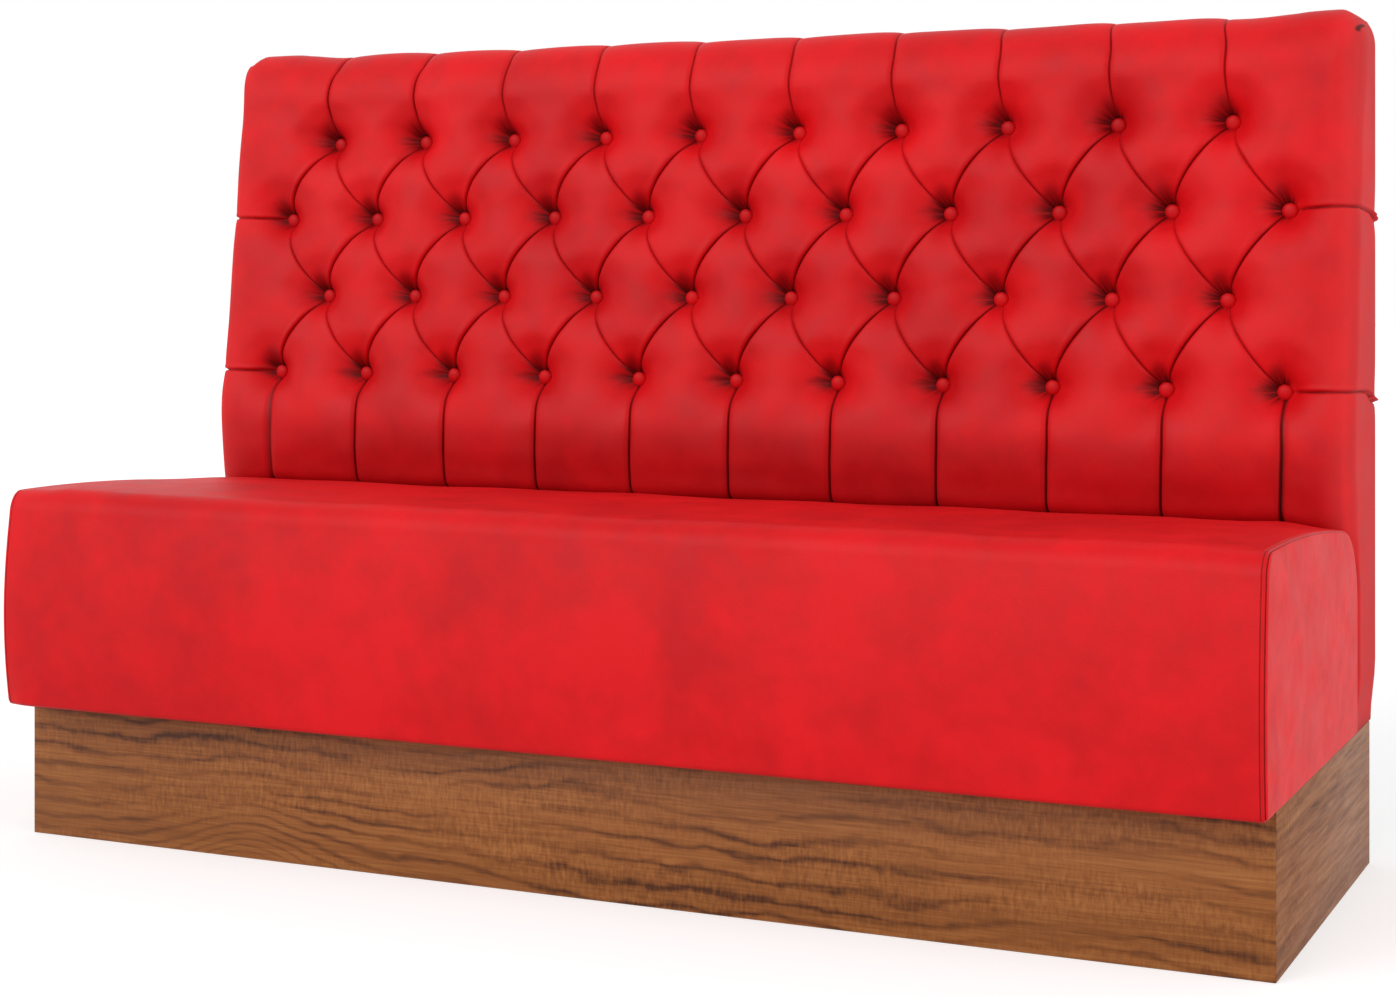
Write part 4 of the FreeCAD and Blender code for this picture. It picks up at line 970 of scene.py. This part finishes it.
    # matte: where the painted highlight and the extra roughness lie
    matte = fitToSeat(points, moved, steps, width)
    setPoints(piece, moved)
    addField(piece, "paintedShade", np.clip(paintedShade, 0, 1))
    addField(piece, "around", around)
    addField(piece, "matte", matte)
    return piece


backPad = backCover()
finishPiece(backPad, redCloth, "red_leathercloth", "back_tufted_cover", "back_foam_slab")
print("Tufted back made with", len(backPad.data.polygons), "faces")

buttons = {
    "radius": 10.3,
    "height": 7.2,
    "sides": 28,
    "ripple": 0.012,
    "ripples": 9,
    "profile": [(0.92, 0.0), (1.0, 0.12), (1.02, 0.25), (0.98, 0.42), (0.88, 0.62), (0.72, 0.79), (0.5, 0.92),
                (0.25, 0.985), (0.06, 1.0)],
}


def backButtons():
    radius, tall = buttons["radius"], buttons["height"]
    profile = [(radius * r, tall * h) for r, h in buttons["profile"]]
    seed = turned("button", profile, buttons["sides"], buttons["ripple"], buttons["ripples"])
    rise = math.tan(bench["rake"])
    spots = [(x, bench["seatPlane"] + (z - rowHeights[0]) * rise, z) for row, x, z in buttonList()]
    turns = [(math.pi / 2 + bench["rake"], 0, 0)] * len(spots)
    piece = repeatPiece("backButtons", seed, spots, turns, shadedButtonCloth, 1.0, 3.0)
    piece.data.shade_smooth()
    return piece


buttonSet = backButtons()
finishPiece(buttonSet, shadedButtonCloth, "button_leathercloth", "back_buttons_row_1", "back_buttons_row_2",
            "back_buttons_row_3", "back_buttons_row_4")
print("Buttons placed")


# Seat

seat = {
    "seam": 842.4,
    "topstitch": 837.7,
    "endRadius": 7.0,
    "frontTop": 472.3,
    "rearTop": 452.8,
    "rearEnd": 213.2,
    "lean": 8.5,
    "tuck": 4.0,
    "nose": 31.0,
    "noseShare": 0.95,
    "crown": 6.8,
    "bulge": 7.5,
    "rearCorner": 65.0,
    "cornerGrowth": 28.0,
    "endRearDrop": 6.0,
    "endTopDrop": 2.5,
    "endRearTopDrop": 3.8,
    "endRun": 90.0,
    "clothColumns": 96,
    "clothHold": 0.25,
    "clothPush": 2.0,
    "clothCap": 4.0,
    "clothSlack": 0.006,
    "leftPush": 6.0,
    "leftPushEnds": 3.0,
    "leftPushReach": 26.0,
    "soleRadius": 7.0,
    "seamGroove": 1.9,
    "stitchGroove": 1.2,
    "grooveWidth": 0.55,
    "endBulge": 2.2,
    "lowPush": (0.66, 0.75, 0.0),
    "coverColumns": 82,
    "coverSteps": (0, 0.35, 0.8, 1.3, 2.0, 2.8, 3.5, 3.95, 4.3, 4.7, 5.1, 5.5, 6.0, 7.0, 9.0, 13, 19, 27),
    "capSteps": (0, 0.25, 0.55, 0.9, 1.3, 1.7, 2.05, 2.35, 2.52, 2.6),
    "capRings": (0.985, 0.96, 0.92, 0.86, 0.78, 0.68, 0.56, 0.42, 0.28, 0.14, 0.05),
}


def bowedLine(start, end, rise, count):  # arc standing out on the left of its way, end left out
    start, end = np.array(start, float), np.array(end, float)
    t = np.arange(count) / count
    way = end - start
    out = np.array([-way[1], way[0]]) / np.linalg.norm(way)
    return start + way * t[:, None] + out * (4 * rise * t * (1 - t))[:, None]


def cornerLine(start, corner, end, count):
    start, corner, end = (np.array(spot, float) for spot in (start, corner, end))
    t = (np.arange(count) / count)[:, None]
    a, b = start + (corner - start) * 0.5523, end + (corner - end) * 0.5523
    return start * (1 - t) ** 3 + 3 * a * t * (1 - t) ** 2 + 3 * b * t ** 2 * (1 - t) + end * t ** 3


def seatSection(share):  # closed (y, z) outline from the front sole up and round; share 1 is at the ends
    front, rear, base = bench["front"], seat["rearEnd"], bench["base"] + 0.3
    sole, nose = seat["soleRadius"], seat["nose"]
    frontTop = seat["frontTop"] - seat["endTopDrop"] * share
    rearTop = seat["rearTop"] - seat["endRearTopDrop"] * share
    corner = seat["rearCorner"] + seat["cornerGrowth"] * share
    drop = corner + seat["endRearDrop"] * share
    foot = (front + seat["tuck"], base + sole)
    noseStart = (front + seat["lean"], frontTop - nose)
    noseEnd = (front + seat["lean"] + nose * seat["noseShare"], frontTop)
    cornerStart, cornerEnd = (rear - corner, rearTop), (rear, rearTop - drop)
    rearFoot, rearSole = (rear, base + sole), (rear - sole, base)
    frontSole = (front + seat["tuck"] + sole, base)
    return np.vstack([
        bowedLine(foot, noseStart, seat["bulge"], 30),
        cornerLine(noseStart, (noseStart[0], noseEnd[1]), noseEnd, 12),
        bowedLine(noseEnd, cornerStart, seat["crown"], 44),
        cornerLine(cornerStart, (cornerEnd[0], cornerStart[1]), cornerEnd, 14),
        bowedLine(cornerEnd, rearFoot, 0, 12),
        cornerLine(rearFoot, (rearFoot[0], rearSole[1]), rearSole, 4),
        bowedLine(rearSole, frontSole, 0, 26),
        cornerLine(frontSole, (foot[0], frontSole[1]), foot, 5),
    ])


def insetLoop(loop, amount):  # moves a closed outline inwards along its normals
    ahead, behind = np.roll(loop, -1, 0), np.roll(loop, 1, 0)
    way = ahead - behind
    out = np.stack([-way[:, 1], way[:, 0]], 1)
    out /= np.linalg.norm(out, axis=1)[:, None]
    return loop - out * amount


def seamShade(x, line):
    return math.exp(-((abs(x) - seat[line]) / seat["grooveWidth"]) ** 2)


def seatStation(x):
    share = float(smoothStep((abs(x) - (seat["seam"] - seat["endRun"])) / seat["endRun"]))
    turn = max(0.0, abs(x) - (bench["half"] - seat["endRadius"]))
    radius = seat["endRadius"]
    inset = radius - math.sqrt(max(radius ** 2 - turn ** 2, 0))
    inset += seat["seamGroove"] * seamShade(x, "seam") + seat["stitchGroove"] * seamShade(x, "topstitch")
    loop = insetLoop(seatSection(share), inset)
    return np.column_stack([np.full(len(loop), x), loop])


def loopFaces(loops, size, flip=False):
    ids = np.arange(loops * size).reshape(loops, size)
    ids = np.hstack([ids, ids[:, :1]])
    faces = gridFaces(ids)
    return [face[::-1] for face in faces] if flip else faces


def softCorner(points):  # the seat's left front upright edge is rounder
    away = np.hypot(points[:, 0] + bench["half"], points[:, 1] - bench["front"] - 3.5)
    middle = (points[:, 2] - 330.0) / 140.0
    push = (seat["leftPush"] + seat["leftPushEnds"] * middle ** 2) * np.exp(-(away / seat["leftPushReach"]) ** 2)
    return points + push[:, None] * np.array(seat["lowPush"])


def seatCover():
    seam = seat["seam"]
    ends = seam - np.array(seat["coverSteps"])
    inner = np.linspace(0, seam - 37, seat["coverColumns"])
    right = np.concatenate([inner, ends[::-1]])
    stations = np.concatenate([-right[:0:-1], right])
    loops = [seatStation(x) for x in stations]
    size = len(loops[0])
    faces = loopFaces(len(loops), size, flip=True)
    faces.append(list(range(size)))
    faces.append([(len(loops) - 1) * size + i for i in range(size)][::-1])
    points = np.vstack(loops)
    piece = addMesh("seatCover", points, faces)
    flatFaces(piece, len(faces) - 2, len(faces) - 1)
    x, y, z = points.T
    normals = pointNormals(piece)
    calm = smoothStep((seam - 20 - np.abs(x)) / 60) * smoothStep((z - 200) / 40) * (y < 190)
    wave = 0.9 * np.sin(x / 83 + 0.8) * np.sin(y / 71 + z / 57) + 0.6 * np.sin(x / 37 + y / 53 + 2.0)
    points = points + normals * (wave * calm)[:, None]
    first, last = len(ends), len(stations) - len(ends)
    upper = seat["clothColumns"]
    grid = points.reshape(len(stations), size, 3)[first:last, :upper].transpose(1, 0, 2)
    pins = np.full(grid.shape[:2], seat["clothHold"])
    pins[:3], pins[-4:], pins[:, :3], pins[:, -3:] = 1.0, 1.0, 1.0, 1.0
    moves = clothMoves(grid, pins, seat["clothPush"], seat["clothCap"], seat["clothSlack"])
    settled = points.reshape(len(stations), size, 3)
    settled[first:last, :upper] += moves.transpose(1, 0, 2)
    setPoints(piece, softCorner(settled.reshape(-1, 3)))
    # painted shade along the seam and topstitch grooves
    shades = [max(0.7 * seamShade(x, "seam"), 0.5 * seamShade(x, "topstitch")) for x in stations]
    addField(piece, "paintedShade", np.repeat(shades, size))
    return piece


def seatCap(side):
    stations = [seat["seam"] + step for step in seat["capSteps"]]
    loops = [seatStation(side * x) for x in stations]
    last = loops[-1]
    centre = last.mean(0)
    for scale in seat["capRings"]:
        ring = centre + (last - centre) * scale
        ring[:, 0] = side * (bench["half"] + seat["endBulge"] * (1 - scale ** 3))
        loops.append(ring)
    size = len(last)
    faces = loopFaces(len(loops), size, flip=side > 0)
    near, start, closing = list(range(size)), (len(loops) - 1) * size, len(faces)
    faces.append(near if side > 0 else near[::-1])
    middle = centre * 1.0
    middle[0] = side * (bench["half"] + seat["endBulge"])
    loops.append(middle[None, :])
    for i in range(size):
        fan = [start + i, start + (i + 1) % size, start + size]
        faces.append(fan[::-1] if side > 0 else fan)
    piece = addMesh("seatEndCapRight" if side > 0 else "seatEndCapLeft", softCorner(np.vstack(loops)), faces)
    flatFaces(piece, closing)
    # painted shade along the seam groove
    shades = [0.7 * seamShade(x, "seam") for x in stations] + [0.0] * (len(loops) - 1 - len(stations))
    addField(piece, "paintedShade", np.append(np.repeat(shades, size), 0.0))
    return piece


cover = seatCover()
finishPiece(cover, redCloth, "red_leathercloth", "seat_cover", "seat_foam", "seat_front_foam")
for side, node in ((-1, "seat_left_end_cap"), (1, "seat_right_end_cap")):
    cap = seatCap(side)
    finishPiece(cap, litEndCloth, "red_leathercloth", node)
print("Seat made")

stitching = {"pitch": 5.0, "length": 3.6, "thickness": 0.75, "sides": 6, "points": 112}


def seatStitches():
    length, thick = stitching["length"] / 2, stitching["thickness"] / 2
    profile = [(thick * 0.5, -length), (thick, -length * 0.7), (thick, length * 0.7), (thick * 0.5, length)]
    seed = turned("stitch", profile, stitching["sides"])
    spots, turns = [], []
    for side in (-1, 1):
        for place in (seat["seam"], seat["topstitch"]):
            loop = seatStation(side * place)[:stitching["points"]]  # sole left out
            lengths = np.concatenate([[0], np.cumsum(np.linalg.norm(np.diff(loop, axis=0), axis=1))])
            for here in np.arange(4.0, lengths[-1], stitching["pitch"]):
                spot = [np.interp(here, lengths, loop[:, part]) for part in range(3)]
                ahead = [np.interp(here + 1, lengths, loop[:, part]) for part in range(3)]
                way = math.atan2(ahead[2] - spot[2], ahead[1] - spot[1])
                spots.append(softCorner(np.array([spot]))[0])
                turns.append((way - math.pi / 2, 0, 0))
    piece = repeatPiece("seatStitches", seed, spots, turns, thread)
    piece.data.shade_smooth()
    return piece


stitches = seatStitches()
finishPiece(stitches, thread, "red_leathercloth")
print("Stitches made")


# Plinth boards with eased edges

plinth = {"front": -268.5, "rear": 319.5, "half": 841.0, "thickness": 18.0, "height": 184.0, "ease": 0.9}


def easedBoard(name, outline, low, high, ease):
    count = len(outline)
    points = [(x, y, low) for x, y in outline] + [(x, y, high) for x, y in outline]
    faces = [list(range(count))[::-1], list(range(count, 2 * count))]
    faces += [[i, (i + 1) % count, (i + 1) % count + count, i + count] for i in range(count)]
    piece = addMesh(name, points, faces, smooth=False)
    bevel = piece.modifiers.new("ease", "BEVEL")
    bevel.width = ease * millimetre
    bevel.segments = 3
    bevel.limit_method = "ANGLE"
    bevel.angle_limit = math.radians(60)
    bakeModifiers(piece)
    piece.data.shade_smooth()
    piece.data.set_sharp_from_angle(angle=math.radians(35))
    return piece


def plinthBoards():
    half, front, rear, thick = plinth["half"], plinth["front"], plinth["rear"], plinth["thickness"]
    tall, ease = plinth["height"], plinth["ease"]
    outline = [(-half, front), (half, front), (half - thick, front + thick), (-half + thick, front + thick)]
    board = easedBoard("plinthFront", outline, 0.0, tall, ease)
    finishPiece(board, walnutFront, "plinth_laminate", "plinth_front_panel")
    for side, label, node in ((-1, "plinthLeft", "plinth_left_end_panel"),
                              (1, "plinthRight", "plinth_right_end_panel")):
        outer, inner = side * half, side * (half - thick)
        outline = [(outer, front), (outer, rear), (inner, rear), (inner, front + thick)]
        board = easedBoard(label, outline[::side], 0.0, tall, ease)
        finishPiece(board, walnutEnd, "plinth_laminate", node)


plinthBoards()
print("Plinth made")


# Wall side: dust cloth and its staples

dust = {"sag": 0.35, "hem": 12.0, "pucker": 0.25, "offset": 0.35, "columns": 141, "rows": 76}


def clothCorners():
    low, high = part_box("back_dust_cloth")
    return [part / millimetre for part in (low.x, low.z, high.x, high.z)]


def dustCloth():
    x0, z0, x1, z1 = clothCorners()
    xs, zs = np.linspace(x0, x1, dust["columns"]), np.linspace(z0, z1, dust["rows"])
    x, z = np.meshgrid(xs, zs)
    edge = np.minimum.reduce([x - x0, x1 - x, z - z0, z1 - z])
    ripple = dust["sag"] * np.sin(x / 19) * np.sin(z / 23 + 1) * smoothStep(edge / 40)
    pucker = dust["pucker"] * np.cos(2 * np.pi * x / 60) * np.exp(-np.minimum(z - z0, z1 - z) / 18)
    y = bench["rear"] + dust["offset"] + ripple * 0.5 + pucker + 0.3 * (edge < dust["hem"])
    ids = np.arange(x.size).reshape(x.shape)
    points = np.stack([x, y, z], -1).reshape(-1, 3)
    piece = addMesh("dustCloth", points, gridFaces(ids[:, ::-1]))
    return piece, (x1 - x0) * millimetre, (z1 - z0) * millimetre


clothPiece, clothWide, clothTall = dustCloth()
finishPiece(clothPiece, blackCloth, "dust_cloth", "back_dust_cloth")

staple = {"inset": 6, "pitch": 60.0, "offset": 0.9, "skew": 0.25}


def backStaples():
    x0, z0, x1, z1 = clothCorners()
    crown = [(x, 0, z) for x, z in ((-5, -0.6), (5, -0.6), (5, 0.6), (-5, 0.6))]
    foot = [(x, 0.7, z) for x, z in ((-4.6, -0.4), (4.6, -0.4), (4.6, 0.4), (-4.6, 0.4))]
    sides = [[4, 5, 1, 0], [5, 6, 2, 1], [6, 7, 3, 2], [7, 4, 0, 3]]
    seed = addMesh("staple", crown + foot, [[0, 1, 2, 3], [7, 6, 5, 4]] + sides, smooth=False)
    inset, pitch, y = staple["inset"], staple["pitch"], bench["rear"] + staple["offset"]
    level = [(x, z) for x in np.arange(x0 + 30, x1 - 20, pitch) for z in (z0 + inset, z1 - inset)]
    upright = [(x, z) for z in np.arange(z0 + 40, z1 - 30, pitch) for x in (x0 + inset, x1 - inset)]
    spots = [(x, y, z) for x, z in level + upright]
    random = np.random.default_rng(3)
    turns = [(0, turn + random.uniform(-staple["skew"], staple["skew"]), 0)
             for turn in [0] * len(level) + [math.pi / 2] * len(upright)]
    return repeatPiece("backStaples", seed, spots, turns, zinc)


staples = backStaples()
finishPiece(staples, zinc, "fixing_steel")
print("Wall side made")

# Finishes of the nodes that stay
finishes = {
    "frame_timber": plywood,
    "plinth_laminate": walnutFront,
    "foam": twine,
    "twine": twine,
    "toggle_plastic": togglePlastic,
    "glide_plastic": nylon,
    "fixing_steel": zinc,
}
for row in frame["record"]["subparts"]:
    node = frame["nodes"][row["node"]]
    if row["material_slot"] in finishes:
        node.data.materials.clear()
        node.data.materials.append(finishes[row["material_slot"]])

# Floor, light and camera

studio = {
    "floorSize": 30.0,
    "floorDepth": 0.0004,
    "floorTone": 0.62,
    "floorLift": 0.54,
    "ambient": 0.62,
}
suns = {"key": ((-1.4, -3.4, 1.7), 1.54, 50), "side": ((4.0, -0.5, 0.7), 1.25, 60)}  # place, power, spread
view = {"lens": 63.0, "sensor": 36.0, "shift": -0.1641, "place": (1.3795, -2.9115, 0.768), "turn": 24.834}


def seenDirectly(tree):
    rays = addNode(tree, "ShaderNodeLightPath").outputs
    direct = sums(tree, "MAXIMUM", rays["Is Camera Ray"], rays["Is Glossy Ray"])
    return sums(tree, "MAXIMUM", direct, rays["Is Transmission Ray"])


def stage():
    size, low = studio["floorSize"], -studio["floorDepth"]
    mesh = bpy.data.meshes.new("studioFloor")
    corners = [(-size, -size, low), (size, -size, low), (size, size, low), (-size, size, low)]
    mesh.from_pydata(corners, [], [[0, 1, 2, 3]])
    floor = addObject("studioFloor", mesh)
    material, tree = startMaterial("paleFloor")
    lift = times(tree, seenDirectly(tree), studio["floorLift"])
    grain = noise(tree, stretched(tree, (1, 1, 1)), 3.0, 2.0)
    tone = mixColour(tree, grain, colour(*[studio["floorTone"]] * 3), colour(*[studio["floorTone"] + 0.01] * 3))
    matte = addNode(tree, "ShaderNodeBsdfDiffuse", None, {"Color": tone})
    glow = addNode(tree, "ShaderNodeEmission", None, {"Color": colour(1, 1, 1), "Strength": lift})
    both = addNode(tree, "ShaderNodeAddShader", None, {0: matte.outputs[0], 1: glow.outputs[0]})
    closeMaterial(tree, both)
    mesh.materials.append(material)
    world = bpy.data.worlds.new("studio")
    bpy.context.scene.world = world
    world.use_nodes = True
    tree = world.node_tree
    tree.nodes.clear()
    strength = ranged(tree, seenDirectly(tree), 0.0, 1.0, studio["ambient"], 1.0)
    light = addNode(tree, "ShaderNodeBackground", None, {"Color": colour(1, 1, 1), "Strength": strength})
    addNode(tree, "ShaderNodeOutputWorld", None, {"Surface": light.outputs[0]})


def softSun(name, place, power, spread):
    lamp = bpy.data.lights.new(name, "SUN")
    lamp.energy = power
    lamp.angle = math.radians(spread)
    holder = addObject(name, lamp)
    holder.location = place
    holder.rotation_euler = (-Vector(place)).to_track_quat("-Z", "Y").to_euler()


def camera():
    lens = bpy.data.cameras.new("view")
    lens.lens = view["lens"]
    lens.sensor_width = view["sensor"]
    lens.shift_y = view["shift"]
    holder = addObject("view", lens)
    holder.location = view["place"]
    holder.rotation_euler = (math.pi / 2, 0, math.radians(view["turn"]))
    bpy.context.scene.camera = holder


stage()
for name, (place, power, spread) in suns.items():
    softSun(name, place, power, spread)
camera()
bpy.context.scene.view_settings.view_transform = "Standard"
print("Stage set")
